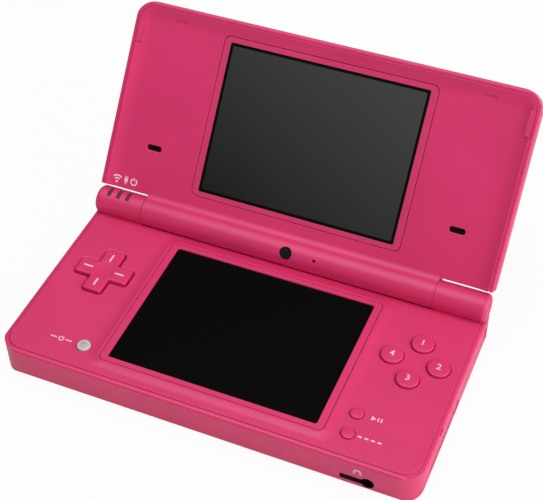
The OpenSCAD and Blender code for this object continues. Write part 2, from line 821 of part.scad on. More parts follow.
module face_button_membrane() color(rubber_grey) {
    membrane(face_buttons, face_flange_r + fit_gap, 1.5);
    translate([group_x, group_y, board_top + seat_gap]) cylinder(h = sheet_t, r = face_button_pitch / 2);
}

module start_button() color(case_pink)
    round_button([small_x, start_y], small_button_r, small_flange_r, small_proud);

module select_button() color(case_pink)
    round_button([small_x, select_y], small_button_r, small_flange_r, small_proud);

module power_button() color([0.80, 0.80, 0.81])
    round_button([power_x, power_y], power_button_r, power_flange_r, small_proud);

module small_button_membranes() color(rubber_grey) {
    membrane([[small_x, start_y], [small_x, select_y]], small_flange_r, 1.2);
    membrane([[power_x, power_y]], power_flange_r, 0);
}

// ---------- Shoulder buttons ----------

module shoulder_button() {
    translate([0, 0, shoulder_z]) difference() {
        union() {
            intersection() {
                linear_extrude(shoulder_h) shoulder_plan(0);
                translate([0, 0, -shoulder_z]) intersection() {
                    along_x(case_w + 2)
                        edge_section(case_d, shoulder_z - 2, shoulder_top + 2, shoulder_edge_r,
                                     shoulder_edge_r);
                    along_y(case_d + 2)
                        edge_section(case_w, shoulder_z - 2, shoulder_top + 2, shoulder_edge_r,
                                     shoulder_edge_r);
                }
            }
            translate([-shoulder_pin_x, shoulder_pin_y, 0])
                cylinder(h = shoulder_eye_h, r = shoulder_eye_r);
            span([-shoulder_pin_x - shoulder_pin_r, shoulder_pin_y, 0],
                 [-shoulder_pin_x + shoulder_pin_r, half_d - shoulder_wall + eps, shoulder_eye_h]);
        }
        translate([-shoulder_pin_x, shoulder_pin_y, -1])
            cylinder(h = shoulder_h + 2, r = shoulder_pin_r + seat_gap);
        translate([-shoulder_pin_x, shoulder_pin_y, shoulder_eye_h])
            cylinder(h = shoulder_h, r = shoulder_eye_r - fit_gap);
    }
}

module left_shoulder_button() color(case_pink) shoulder_button();
module right_shoulder_button() color(case_pink) mirror([1, 0, 0]) shoulder_button();

module shoulder_pins() color(steel_grey)
    for (sx = [-1, 1]) translate([sx * shoulder_pin_x, shoulder_pin_y, floor_t + seat_gap])
        cylinder(h = trough_bottom + shoulder_pin_seat - fit_gap - floor_t - seat_gap, r = shoulder_pin_r);

// Coils of the two return springs, wound on the pins above the eyes
module shoulder_springs() color(steel_grey)
    for (sx = [-1, 1])
        translate([sx * shoulder_pin_x, shoulder_pin_y, shoulder_z + shoulder_eye_h + fit_gap])
            tube(shoulder_h - shoulder_eye_h - 2 * fit_gap, shoulder_eye_r - 0.35,
                 shoulder_pin_r + seat_gap);

// ---------- Volume rocker ----------

module volume_rocker() color(case_pink) difference() {
    union() {
        span([-half_w - rocker_proud, rocker_y - rocker_len / 2, rocker_z - rocker_h / 2],
             [-half_w + shell_t - move_gap, rocker_y + rocker_len / 2, rocker_z + rocker_h / 2]);
        span([-half_w + shell_t - 0.3, rocker_y - rocker_lug_w / 2, rocker_z - rocker_h / 2],
             [-half_w + rocker_depth, rocker_y + rocker_lug_w / 2, rocker_z + rocker_h / 2]);
    }
    translate([rocker_pin_x, rocker_y, 0]) cylinder(h = deck_z, r = rocker_pin_r + seat_gap);
}

module volume_pin() color(steel_grey)
    translate([rocker_pin_x, rocker_y, rocker_z - rocker_h / 2 - move_gap - 0.85])
        cylinder(h = rocker_h + 2 * move_gap + 1.7, r = rocker_pin_r);

// ---------- Stylus ----------

module stylus() color([0.88, 0.88, 0.89]) translate([0, silo_y, silo_z]) {
    tip_x = stylus_end_x - stylus_len;
    rod_x(stylus_end_x - stylus_head_len, stylus_end_x, stylus_r);
    rod_x(tip_x + stylus_tip_len - eps, stylus_end_x - stylus_head_len + eps, stylus_neck_r);
    translate([tip_x, 0, 0]) rotate([0, 90, 0])
        cylinder(h = stylus_tip_len, r1 = stylus_tip_r, r2 = stylus_neck_r);
}

module stylus_silo() color([0.25, 0.25, 0.27]) translate([0, silo_y, silo_z]) difference() {
    silo_end = stylus_end_x - stylus_len - 1;
    rod_x(silo_end, half_w - shell_t - fit_gap, silo_out_r);
    rod_x(silo_end + silo_end_t, half_w, silo_in_r);
}

// ---------- Memory card slot ----------

module memory_card_cover() color(case_pink) difference() {
    union() {
        span([memory_axis_x - memory_eye_r, memory_y - memory_len / 2, memory_axis_z],
             [half_w - seat_gap, memory_y + memory_len / 2, memory_high]);
        translate([memory_axis_x, memory_y, memory_axis_z]) rotate([90, 0, 0])
            cylinder(h = memory_len, r = memory_eye_r, center = true);
    }
    translate([memory_axis_x, memory_y, memory_axis_z]) rotate([90, 0, 0])
        cylinder(h = memory_len + 2, r = memory_pin_r + seat_gap, center = true);
}

module memory_card_pin() color(steel_grey)
    translate([memory_axis_x, memory_y, memory_axis_z]) rotate([90, 0, 0])
        cylinder(h = memory_len + 1.6, r = memory_pin_r, center = true);

module memory_card_reader() color(steel_grey) difference() {
    reader_end = half_w - shell_t - memory_reader_d;
    span([reader_end, memory_reader_y - memory_reader_w / 2, bay_top - memory_reader_h],
         [half_w - shell_t - fit_gap, memory_reader_y + memory_reader_w / 2, bay_top]);
    span([reader_end + memory_wall, memory_reader_y - memory_slot_w / 2,
          bay_top - memory_wall - memory_slot_h],
         [half_w, memory_reader_y + memory_slot_w / 2, bay_top - memory_wall]);
}

// ---------- Connectors ----------

module game_card_reader() color([0.20, 0.20, 0.22]) difference() {
    span([-reader_w / 2, reader_front, floor_t + seat_gap],
         [reader_w / 2, half_d - shell_t - fit_gap, card_low + card_h + 0.3]);
    span([-card_w / 2, reader_front + reader_wall, card_low],
         [card_w / 2, half_d, card_low + card_h]);
}

module charge_port() color([0.15, 0.15, 0.16]) {
    difference() {
        span([charge_x - charge_w / 2, half_d - charge_d, port_low],
             [charge_x + charge_w / 2, half_d - shell_t - fit_gap, bay_top]);
        span([charge_x - charge_w / 2 + charge_wall, half_d - charge_d + 1, charge_low],
             [charge_x + charge_w / 2 - charge_wall, half_d, charge_high]);
    }
    span([charge_x - charge_tongue_w / 2, half_d - charge_d + 1 - fit_gap, charge_tongue_low],
         [charge_x + charge_tongue_w / 2, half_d - shell_t - charge_wall, charge_tongue_high]);
}

module headphone_socket() color([0.12, 0.12, 0.13]) difference() {
    front = -half_d + shell_t + fit_gap;
    union() {
        span([jack_x - jack_body_w / 2, front, port_low],
             [jack_x + jack_body_w / 2, front + jack_len, bay_top]);
        span([jack_x - jack_slot_w - jack_wall, front, port_low],
             [jack_x, front + jack_slot_d + jack_wall, bay_top]);
    }
    translate([jack_x, front - 1, jack_z]) rotate([-90, 0, 0])
        cylinder(h = jack_len, r = jack_r);
    span([jack_x - jack_slot_w, front - 1, jack_z - jack_slot_h / 2 - fit_gap],
         [jack_x - jack_r - 0.6, front + jack_slot_d, jack_z + jack_slot_h / 2 - fit_gap]);
}

// ---------- Fasteners and pads of the base ----------

module base_screws() color(steel_grey) {
    low = pad_depth + seat_gap;
    for (at = corner_screws) translate([at[0], at[1], 0])
        small_screw(low, head_t, deck_bottom + deck_t - 0.7 - low - head_t);
    for (at = rear_screws) translate([at[0], at[1], 0])
        small_screw(low, head_t, trough_bottom + trough_t - 0.5 - low - head_t);
}

module rubber_pads() color(rubber_grey)
    for (at = concat(corner_screws, rear_screws)) translate([at[0], at[1], 0])
        cylinder(h = pad_depth, r = pad_r - seat_gap);

module status_light_pipes() color([0.92, 0.90, 0.80])
    for (x = light_xs) translate([x, 0, 0])
        at_axis() light_slot(barrel_bore_r + fit_gap, barrel_r - seat_gap, light_w, light_from, light_to);

// ---------- Hinge ----------

module hinge_cartridge() color(steel_grey) at_axis() {
    rod_x(knuckle_in + 0.2, knuckle_in + cartridge_len - 0.2, barrel_bore_r - seat_gap);
    rod_x(knuckle_in - spindle_len, knuckle_in + 0.2 + eps, spindle_r);
}

module hinge_cam() color([0.62, 0.58, 0.45]) at_axis() difference() {
    rod_x(knuckle_in - spindle_len + 0.4, knuckle_in - 0.4, barrel_bore_r - seat_gap);
    rod_x(knuckle_in - spindle_len - 1, knuckle_in + 1, spindle_r + spindle_gap);
}

module hinge_shaft() color(steel_grey) at_axis() difference() {
    rod_x(-knuckle_in - cartridge_len + 0.3, -knuckle_in - cartridge_len + shaft_len,
          barrel_bore_r - spindle_gap);
    rod_x(-half_w, 0, barrel_bore_r - 1);
}

// ---------- Lid ----------

// Plan of the lid beyond the hinge, grown or shrunk by grow
module lid_plan(grow) {
    w = case_w + 2 * grow;
    top = lid_len + grow;
    low = lid_start - grow * lid_hinge_wall / shell_t;
    r = corner_r + grow;
    r_in = max(lid_corner_in + grow, 0.3);
    translate([-w / 2 + r, low + r_in]) square([w - 2 * r, top - low - r_in]);
    translate([-w / 2, low + r_in]) square([w, top - low - r - r_in]);
    translate([-w / 2 + r_in, low]) square([w - 2 * r_in, r_in + eps]);
    for (s = [-1, 1]) {
        translate([s * (w / 2 - r), top - r]) circle(r);
        translate([s * (w / 2 - r_in), low + r_in]) circle(r_in);
    }
}

// Plan of the lips that end the side walls of the lid beside the knuckles
module side_lip_plan() {
    past = lid_start + lid_corner_in + eps;
    for (s = [0, 1]) mirror([s, 0]) {
        translate([half_w - shell_t, lid_lip_u]) square([shell_t - lid_lip_r, past - lid_lip_u]);
        translate([half_w - shell_t, lid_lip_u + lid_lip_r])
            square([shell_t, past - lid_lip_u - lid_lip_r]);
        translate([half_w - lid_lip_r, lid_lip_u + lid_lip_r]) circle(lid_lip_r);
    }
}

module lid_cover() color(case_pink) on_lid() difference() {
    union() {
        difference() {
            intersection() {
                union() {
                    translate([0, 0, back_n]) linear_extrude(lid_wall_n - back_n) lid_plan(0);
                    translate([0, 0, lid_lip_n]) linear_extrude(lid_wall_n - lid_lip_n)
                        side_lip_plan();
                }
                along_y(4 * lid_len)
                    edge_section(case_w, back_n, lid_wall_n, lid_edge_r, lip_edge_r);
                translate([0, lid_len / 2 - 10, 0]) along_x(case_w + 2)
                    edge_section(lid_len + 20, back_n, lid_wall_n, lid_edge_r, lip_edge_r);
            }
            translate([0, 0, lid_cavity_n]) linear_extrude(10) lid_plan(-shell_t);
            // the hinge side passes under the lid frame
            span([-half_w + shell_t, 0, plate_back_n - line_gap],
                 [half_w - shell_t, lid_start + shell_t + 0.2, 10]);
        }
        for (at = lid_screws_at) translate([at[0], at[1], lid_cavity_n - eps])
            cylinder(h = plate_back_n - lid_boss_h - fit_gap - lid_cavity_n, r = lid_post_r);
    }
    for (at = lid_screws_at) translate([at[0], at[1], lid_cavity_n])
        cylinder(h = 8, r = pilot_r);
    // way of the cable into the lid
    span([cable_from - 1, lid_start - 1, cable_n - 0.5],
         [cable_to + 1, lid_start + shell_t + 1, plate_back_n]);
    // window of the outer camera
    translate([outer_camera_x, outer_camera_u, back_n - 1]) cylinder(h = 4, r = outer_camera_r + fit_gap);
}

module lid_frame() color(case_pink) on_lid() difference() {
    union() {
        difference() {
            translate([0, 0, plate_back_n]) linear_extrude(rim_n - plate_back_n) {
                lid_plan(-shell_t - fit_gap);
                // down to the end knuckles beside the barrel
                lip_x = half_w - shell_t - fit_gap;
                translate([-lip_x, lid_lip_u])
                    square([2 * lip_x, lid_start + lid_corner_in - lid_lip_u]);
            }
            // dish, open towards the hinge
            hull() {
                dish_w = case_w - 2 * (shell_t + fit_gap + dish_margin);
                dish_top = lid_len - shell_t - fit_gap - dish_margin;
                past = 20;  // runs past the hinge
                translate([0, (dish_top - past) / 2, rim_n])
                    round_block(dish_w, dish_top + past, deck_r - dish_margin, 0, 0.2);
                translate([0, (dish_top - dish_slope - past) / 2, face_n])
                    round_block(dish_w - 2 * dish_slope, dish_top - dish_slope + past, dish_corner_r,
                                0, 0.1);
            }
        }
        rod_x(-barrel_half, barrel_half, barrel_r);
        span([-barrel_half, 0, back_n], [barrel_half, lid_start - line_gap, face_n]);
        span([-barrel_half, lid_start - 1, plate_back_n],
             [barrel_half, lid_start + shell_t + 3, face_n]);
        for (at = lid_screws_at) translate([at[0], at[1], plate_back_n - lid_boss_h])
            cylinder(h = lid_boss_h + fit_gap, r = lid_boss_r);
    }
    // barrel bore and the way of the cable
    rod_x(-barrel_half - 1, barrel_half + 1, barrel_bore_r);
    span([cable_from - 1, 0, cable_n - 1.5], [cable_to + 4, lid_start + 2, cable_n + 0.9]);
    // lens pocket and the view through it
    translate([0, lens_u, 0]) {
        round_block(lens_w + 2 * line_gap, lens_h + 2 * line_gap, lens_corner_r + fit_gap,
                    face_n - lens_t - seat_gap, rim_n + 2 * over);
        round_block(window_w + 1, window_h + 1, 1, plate_back_n - over, rim_n + 2 * over);
    }
    // sound slots
    for (sx = [-1, 1]) translate([sx * speaker_x, speaker_u, plate_back_n - 1])
        linear_extrude(lid_plate_t + 2) round_plan(sound_slot_w, sound_slot_h, 0.9);
    // camera and microphone holes in the barrel
    translate([camera_x, 0, 0]) cylinder(h = barrel_r + 1, r = camera_window_r + fit_gap);
    translate([mic_x, 0, 0]) cylinder(h = barrel_r + 1, r = mic_hole_r);
    // screws under square covers
    for (at = lid_screws_at) translate([at[0], at[1], 0]) {
        translate([0, 0, face_n - screw_cover_depth]) linear_extrude(rim_n + over)
            square(screw_cover_w + 2 * fit_gap, center = true);
        translate([0, 0, plate_back_n - 0.4]) cylinder(h = 5, r = head_r + fit_gap);
        translate([0, 0, plate_back_n - 5]) cylinder(h = 9, r = pilot_r);
    }
    // seats of the rubber bumpers in the rim
    for (sx = [-1, 1])
        translate([sx * (bumper_x + swing_gap), bumper_u, rim_n + bumper_proud - bumper_t - seat_gap])
            linear_extrude(2) round_plan(bumper_w + 0.7, bumper_len + 2 * fit_gap, 0.5);
}

module rim_bumpers() color(light_pink) on_lid()
    for (sx = [-1, 1]) translate([sx * bumper_x, bumper_u, rim_n + bumper_proud - bumper_t])
        linear_extrude(bumper_t) round_plan(bumper_w, bumper_len, 0.4);

module upper_lcd() color([0.10, 0.10, 0.11]) on_lid() translate([0, lens_u, 0])
    round_block(upper_lcd_w, upper_lcd_h, 1, plate_back_n - seat_gap - upper_lcd_t,
                plate_back_n - seat_gap);

module upper_lens() color([0.12, 0.12, 0.13]) on_lid() translate([0, lens_u, 0])
    round_block(lens_w, lens_h, lens_corner_r, face_n - lens_t, face_n);

module speaker(sx) color([0.16, 0.16, 0.17]) on_lid()
    translate([sx * speaker_x, speaker_u, plate_back_n - seat_gap - speaker_t]) {
        cylinder(h = speaker_t - 1, r = speaker_r - 1);
        translate([0, 0, speaker_t - speaker_rim_t]) cylinder(h = speaker_rim_t, r = speaker_r);
    }

module left_speaker() speaker(-1);
module right_speaker() speaker(1);

module inner_camera() color([0.10, 0.10, 0.11]) on_lid() translate([camera_x, 0, 0]) {
    translate([0, 0, -2.2]) cylinder(h = 4.6, r = camera_r);
    translate([0, 0, 2]) cylinder(h = camera_window_n - seat_gap - 2, r = camera_r - 0.3);
}

module inner_camera_window() color([0.05, 0.05, 0.06]) on_lid()
    translate([camera_x, 0, camera_window_n]) cylinder(h = camera_window_t, r = camera_window_r);

module microphone() color([0.30, 0.30, 0.31]) on_lid()
    translate([mic_x, 0, -0.8]) cylinder(h = 3.5, r = mic_r);

module outer_camera() color([0.08, 0.08, 0.09]) on_lid()
    translate([outer_camera_x, outer_camera_u, back_n + fit_gap]) {
        cylinder(h = floor_t + fit_gap, r = outer_camera_r);
        translate([0, 0, floor_t])
            cylinder(h = plate_back_n - back_n - floor_t - swing_gap, r = outer_camera_r + 0.5);
    }

module lid_screws() color(steel_grey) on_lid()
    for (at = lid_screws_at) translate([at[0], at[1], plate_back_n + lid_screw_top])
        rotate([180, 0, 0]) small_screw(0, head_t, lid_screw_shank);

module lid_screw_covers() color(case_pink) on_lid()
    for (at = lid_screws_at) translate([at[0], at[1], face_n - screw_cover_depth + seat_gap])
        linear_extrude(screw_cover_t) square(screw_cover_w, center = true);

module lid_flex_cable() color([0.75, 0.48, 0.20]) on_lid() {
    difference() {
        rod_x(-knuckle_in - cartridge_len + 2, cable_to, cable_r);
        rod_x(-half_w, 0, cable_bore_r);
    }
    span([cable_from, 1, cable_n], [cable_to, lid_start + 3.5, cable_n + cable_t]);
}

module lid_magnet() color(steel_grey) on_lid()
    translate([-(half_w - 8), lid_len - 24, plate_back_n - magnet_t - fit_gap])
        cylinder(h = magnet_t, r = magnet_r);

// ---------- Drawing ----------

base_housing();
base_deck();
battery_cover();
battery_cover_screws();
battery_pack();
main_board();
radio_module();
antenna();
lower_lcd_tray();
lower_lcd();
touch_panel();
lower_screen_frame();
dpad();
dpad_pivot();
dpad_membrane();
button_top();
button_left();
button_right();
button_bottom();
face_button_membrane();
start_button();
select_button();
power_button();
small_button_membranes();
left_shoulder_button();
right_shoulder_button();
shoulder_pins();
shoulder_springs();
volume_rocker();
volume_pin();
stylus();
stylus_silo();
memory_card_cover();
memory_card_pin();
memory_card_reader();
game_card_reader();
charge_port();
headphone_socket();
base_screws();
rubber_pads();
status_light_pipes();
hinge_cartridge();
hinge_shaft();
hinge_cam();
lid_cover();
lid_frame();
upper_lcd();
upper_lens();
left_speaker();
right_speaker();
inner_camera();
inner_camera_window();
microphone();
outer_camera();
rim_bumpers();
lid_screws();
lid_screw_covers();
lid_flex_cable();
lid_magnet();
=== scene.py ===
"""Looks of a clamshell handheld console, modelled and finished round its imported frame.

Sizes are in millimetres and are turned to metres where an operator takes them. The lid's pieces
are modelled lying flat, with u away from the hinge and n out of the inner face, and are then
stood at the lid's resting angle.
"""

import json
import logging
import math
from dataclasses import dataclass
from enum import Enum
from functools import partial
from typing import Callable, ClassVar, Sequence

import bpy
from mathutils import Matrix, Vector


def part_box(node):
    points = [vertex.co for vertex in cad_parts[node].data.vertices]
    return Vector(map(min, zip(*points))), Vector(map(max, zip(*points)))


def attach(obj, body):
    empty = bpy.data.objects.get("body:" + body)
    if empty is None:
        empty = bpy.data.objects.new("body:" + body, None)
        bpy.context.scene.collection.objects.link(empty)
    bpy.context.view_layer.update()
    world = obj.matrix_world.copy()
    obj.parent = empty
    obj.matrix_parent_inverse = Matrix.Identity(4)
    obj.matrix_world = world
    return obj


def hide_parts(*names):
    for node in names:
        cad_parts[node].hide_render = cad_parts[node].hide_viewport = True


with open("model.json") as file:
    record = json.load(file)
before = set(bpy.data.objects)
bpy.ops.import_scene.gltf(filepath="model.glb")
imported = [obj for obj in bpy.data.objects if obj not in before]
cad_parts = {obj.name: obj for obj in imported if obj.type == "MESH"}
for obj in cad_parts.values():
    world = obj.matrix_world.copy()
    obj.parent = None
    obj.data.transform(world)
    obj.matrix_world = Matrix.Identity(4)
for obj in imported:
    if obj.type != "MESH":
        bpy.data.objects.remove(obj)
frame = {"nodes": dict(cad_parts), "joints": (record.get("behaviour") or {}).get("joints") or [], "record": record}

MM = 0.001
HAIR = 2e-6  # metres within which two points are one
PLANE_HAIR = 1e-7  # metres within which a point lies on a cutting plane
NEAR = 0.01  # millimetres within which an element is at the place asked for
SPARE = 1  # millimetres by which a cutter overshoots what it cuts
ROUND_END = 0.45  # corner radius of a bar with round ends, as a share of its width
RING_SWEEP = (125, 415)  # degrees over which the ring of a power sign runs
log = logging.getLogger("console_looks")

Spot = tuple[float, float]
Point = tuple[float, float, float]
Steps = list[tuple[float, float]]  # pairs of inset and rise


class Kind(Enum):
    """What an edit-mode selection is made of."""

    VERTEX = (True, False, False)
    EDGE = (False, True, False)
    FACE = (False, False, True)


class Join(Enum):
    """How two solids are put together."""

    ADD = "UNION"
    CUT = "DIFFERENCE"


class Body(Enum):
    """The bodies of the case's two halves."""

    BASE = "base"
    LID = "lid"


# ---------- Places in the frame ----------


@dataclass(frozen=True)
class Extent:
    """Lowest and highest corner of something, in millimetres."""

    low: Vector
    high: Vector

    @classmethod
    def of(cls, points: Sequence[Vector]) -> "Extent":
        """Gives the extent of some points."""
        return cls(*(Vector([end(p[k] for p in points) for k in range(3)]) for end in (min, max)))

    @property
    def middle(self) -> Vector:
        """Centre of the extent."""
        return (self.low + self.high) / 2

    @property
    def size(self) -> Vector:
        """Width, depth and height."""
        return self.high - self.low


def extent_of(node: str) -> Extent:
    """Gives the extent of a CAD node at rest."""
    low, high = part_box(node)
    return Extent(low / MM, high / MM)


class LidPlace:
    """The lid's own coordinates: x across, u away from the hinge, n out of its inner face."""

    two_rows: float = 20  # a node longer than this has two rows of pieces

    def __init__(self) -> None:
        """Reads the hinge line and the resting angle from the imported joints."""
        hinge = next(j for j in frame["joints"] if j["name"] == "lid_hinge")
        self.axis = Vector(hinge["pos_m"])
        tilt = math.radians(180 + hinge["range_deg"][0])
        self.matrix = Matrix.Translation(self.axis) @ Matrix.Rotation(tilt, 4, "X")

    def points(self, node: str) -> list[Vector]:
        """Gives the points of a CAD node in the lid's coordinates, in millimetres."""
        back = self.matrix.inverted()
        return [back @ v.co / MM for v in frame["nodes"][node].data.vertices]

    def extent(self, node: str) -> Extent:
        """Gives the extent of a CAD node in the lid's coordinates."""
        return Extent.of(self.points(node))

    def islands(self, node: str) -> list[Extent]:
        """Splits a node that has one piece at each side and row into its pieces.

        Args:
            node: Name of the node.

        Returns:
            The extent of each piece, in the lid's coordinates.
        """
        whole = self.extent(node)
        groups: dict[tuple[bool, bool], list[Vector]] = {}
        for p in self.points(node):
            far = whole.size.y > self.two_rows and p.y > whole.middle.y
            groups.setdefault((p.x > 0, far), []).append(p)
        return [Extent.of(members) for members in groups.values()]


LID = LidPlace()


# ---------- Shader graphs ----------


class Wire:
    """A node socket that takes part in Python expressions."""

    def __init__(self, graph: "Graph", socket: bpy.types.NodeSocket | None) -> None:
        """Wraps an output socket of a graph, or a node that has none."""
        self.graph, self.socket = graph, socket

    def _math(self, operation: str, first: "Wire | float", second: "Wire | float") -> "Wire":
        """Adds a Math node."""
        return self.graph.add("ShaderNodeMath", {"operation": operation}, {0: first, 1: second})

    def __add__(self, other: "Wire | float") -> "Wire":
        """self + other."""
        return self._math("ADD", self, other)

    def __radd__(self, other: float) -> "Wire":
        """other + self."""
        return self._math("ADD", other, self)

    def __rsub__(self, other: float) -> "Wire":
        """other - self."""
        return self._math("SUBTRACT", other, self)

    def __mul__(self, other: "Wire | float") -> "Wire":
        """self * other."""
        return self._math("MULTIPLY", self, other)

    def __rmul__(self, other: float) -> "Wire":
        """other * self."""
        return self._math("MULTIPLY", other, self)


class Graph:
    """The node tree of one material, or of the world."""

    MIX_A, MIX_B, MIX_OUT = 6, 7, 2  # colour sockets of a Mix node

    def __init__(self, name: str, world: bool = False) -> None:
        """Starts an empty node tree.

        Args:
            name: Name of the material or world.
            world: Whether it is a world.
        """
        self.owner = (bpy.data.worlds if world else bpy.data.materials).new(name)
        self.owner.use_nodes = True
        self.tree = self.owner.node_tree
        self.tree.nodes.clear()

    def add(
        self,
        kind: str,
        settings: dict | None = None,
        inputs: dict | None = None,
        output: int | str = 0,
    ) -> Wire:
        """Adds a node.

        Args:
            kind: Blender's type name of the node.
            settings: Its properties.
            inputs: Values or wires of its sockets, by name or number; a colour has three numbers.
            output: The socket that is wanted from it.

        Returns:
            A wire from that socket.
        """
        node = self.tree.nodes.new(kind)
        for name, value in (settings or {}).items():
            setattr(node, name, value)
        for name, value in (inputs or {}).items():
            socket = node.inputs[name]
            if isinstance(value, Wire):
                self.tree.links.new(value.socket, socket)
            else:
                socket.default_value = (*value, 1.0) if socket.type == "RGBA" else value
        return Wire(self, node.outputs[output] if len(node.outputs) else None)

    def object_point(self, centre: Point = (0, 0, 0), turn: Point = (0, 0, 0)) -> Wire:
        """Gives the surface point in object coordinates, from a centre in metres, and turned.

        Args:
            centre: The point that becomes the origin.
            turn: Angles by which it is then turned, in radians.

        Returns:
            The point.
        """
        place = self.add("ShaderNodeTexCoord", output="Object")
        place = self.add("ShaderNodeVectorMath", {"operation": "SUBTRACT"}, {0: place, 1: centre})
        return self.add("ShaderNodeMapping", {}, {"Vector": place, "Rotation": turn})

    def noise(self, place: Wire, grain_mm: float, detail: float = 2.0) -> Wire:
        """Adds a noise from 0 to 1, whose cells are about grain_mm across."""
        inputs = {"Vector": place, "Scale": 1 / (grain_mm * MM), "Detail": detail}
        return self.add("ShaderNodeTexNoise", {}, inputs)

    def blend(self, factor: Wire, first: Point, second: Point) -> Wire:
        """Mixes two colours: a factor of 0 gives the first, 1 the second."""
        colours = {0: factor, self.MIX_A: first, self.MIX_B: second}
        return self.add("ShaderNodeMix", {"data_type": "RGBA"}, colours, self.MIX_OUT)

    def ramp(self, value: Wire, low: float, high: float) -> Wire:
        """Maps low..high to 0..1, clamped."""
        inputs = {"Value": value, "From Min": low, "From Max": high}
        return self.add("ShaderNodeMapRange", {"clamp": True}, inputs)

    def along_x(self, place: Wire) -> Wire:
        """Takes the X coordinate out of a vector."""
        return self.add("ShaderNodeSeparateXYZ", {}, {0: place}, output="X")

    def bump(self, height: Wire, depth_mm: float, strength: float) -> Wire:
        """Adds a bump whose height of 1 is depth_mm."""
        inputs = {"Height": height, "Distance": depth_mm * MM, "Strength": strength}
        return self.add("ShaderNodeBump", {}, inputs)

    def end(self, shader: str, surface: Wire) -> "Graph":
        """Joins a surface to the output, whose type is ShaderNodeOutput and shader."""
        self.add(f"ShaderNodeOutput{shader}", {}, {"Surface": surface})
        return self

    def surface(self, **sockets: object) -> bpy.types.Material:
        """Ends the graph in a Principled shader, with sockets named with _ for a space."""
        named = {name.replace("_", " "): value for name, value in sockets.items()}
        return self.end("Material", self.add("ShaderNodeBsdfPrincipled", {}, named)).owner

    def seen_directly(self) -> Wire:
        """Gives 1 where a ray comes straight or through glass from the camera, and 0 elsewhere.

        Returns:
            The mask.
        """
        rays = ("Camera", "Transmission")
        straight, bent = (self.add("ShaderNodeLightPath", output=f"Is {ray} Ray") for ray in rays)
        return self.ramp(straight + bent, 0, 1)


# ---------- Finishes ----------


@dataclass(frozen=True)
class MouldedPlastic:
    """Satin injection-moulded plastic with a spark-eroded grain."""

    name: str
    colour: Point
    roughness: float = 0.42
    grain_mm: float = 0.32
    grain_depth_mm: float = 0.010
    coat: float = 0.0
    mottle: float = 0.05
    specular: float = 0.5

    def material(self) -> bpy.types.Material:
        """Builds the material: clouds in the colour, grain in the relief, both in the gloss.

        Returns:
            The material.
        """
        g = Graph(self.name)
        place = g.object_point()
        cloud = g.noise(place, 24, 3)
        shade, tint = (
            tuple(min(1.0, c * (1 + way * self.mottle)) for c in self.colour) for way in (-1, 1)
        )
        grain = g.noise(place, self.grain_mm, 3)
        handled = g.noise(place, 9, 2)
        return g.surface(
            Base_Color=g.blend(g.ramp(cloud, 0.3, 0.7), shade, tint),
            Roughness=self.roughness - 0.05 + 0.06 * handled + 0.05 * grain,
            Normal=g.bump(grain, self.grain_depth_mm, 0.5),
            Coat_Weight=self.coat,
            Coat_Roughness=0.25,
            Specular_IOR_Level=self.specular,
        )


@dataclass(frozen=True)
class DarkGlass:
    """Dark panel over a switched-off display, with a painted reflection that brightens it along one direction."""

    name: str
    dim_end_colour: Point
    painted_reflection_colour: Point
    centre: Point = (0, 0, 0)
    turn: Point = (0, 0, 0)
    reflection_span_mm: float = 80
    roughness: float = 0.12
    specular: float = 0.35

    def material(self) -> bpy.types.Material:
        """Builds the material: a painted reflection brightens it slowly along X, with faint smudges in the gloss.

        Returns:
            The material.
        """
        g = Graph(self.name)
        place, half = g.object_point(self.centre, self.turn), self.reflection_span_mm / 2 * MM
        # painted reflection: the colour runs from the dim end to the brighter end along X
        across = g.ramp(g.along_x(place), -half, half)
        smudge = g.noise(place, 14, 4)
        return g.surface(
            Base_Color=g.blend(across, self.dim_end_colour, self.painted_reflection_colour),
            Roughness=self.roughness + 0.05 * smudge,
            Specular_IOR_Level=self.specular,
        )


@dataclass(frozen=True)
class Rubber:
    """Moulded rubber with a dull, slightly uneven face."""

    name: str
    colour: Point
    roughness: float = 0.62

    def material(self) -> bpy.types.Material:
        """Builds the material: a pale bloom over a fine relief.

        Returns:
            The material.
        """
        g = Graph(self.name)
        place = g.object_point()
        bloom = g.noise(place, 1.6, 4)
        pale = tuple(min(1.0, c * 1.12 + 0.01) for c in self.colour)
        return g.surface(
            Base_Color=g.blend(bloom, self.colour, pale),
            Roughness=self.roughness + 0.12 * bloom,
            Normal=g.bump(g.noise(place, 0.18, 2), 0.012, 0.5),
            Specular_IOR_Level=0.3,
        )


@dataclass(frozen=True)
class Metal:
    """Plated metal, drawn along one direction."""

    name: str
    colour: Point
    roughness: float = 0.3
    draw_stretch: float = 14

    def material(self) -> bpy.types.Material:
        """Builds the material: noise that is stretched into drawing lines.

        Returns:
            The material.
        """
        g = Graph(self.name)
        stretch = (1, self.draw_stretch, self.draw_stretch)
        place = g.add("ShaderNodeTexCoord", output="Object")
        place = g.add("ShaderNodeMapping", {}, {"Vector": place, "Scale": stretch})
        lines = g.noise(place, 2.4, 4)
        return g.surface(
            Base_Color=g.blend(lines, tuple(c * 0.82 for c in self.colour), self.colour),
            Metallic=1.0,
            Roughness=self.roughness + 0.14 * lines,
            Normal=g.bump(lines, 0.006, 0.4),
        )


@dataclass(frozen=True)
class CircuitBoard:
    """Solder resist over copper tracks."""

    name: str
    resist: Point = (0.012, 0.12, 0.05)
    track: Point = (0.03, 0.21, 0.09)
    pitch_mm: float = 2.6

    def material(self) -> bpy.types.Material:
        """Builds the material: right-angled tracks from a cell pattern.

        Returns:
            The material.
        """
        g = Graph(self.name)
        cells = g.add(
            "ShaderNodeTexVoronoi",
            {"distance": "MANHATTAN", "feature": "F1"},
            {"Vector": g.object_point(), "Scale": 1 / (self.pitch_mm * MM), "Randomness": 0.8},
        )
        lines = g.ramp(cells, 0.42, 0.46)
        return g.surface(
            Base_Color=g.blend(lines, self.resist, self.track),
            Roughness=0.34 + 0.1 * lines,
            Normal=g.bump(lines, 0.03, 0.6),
        )


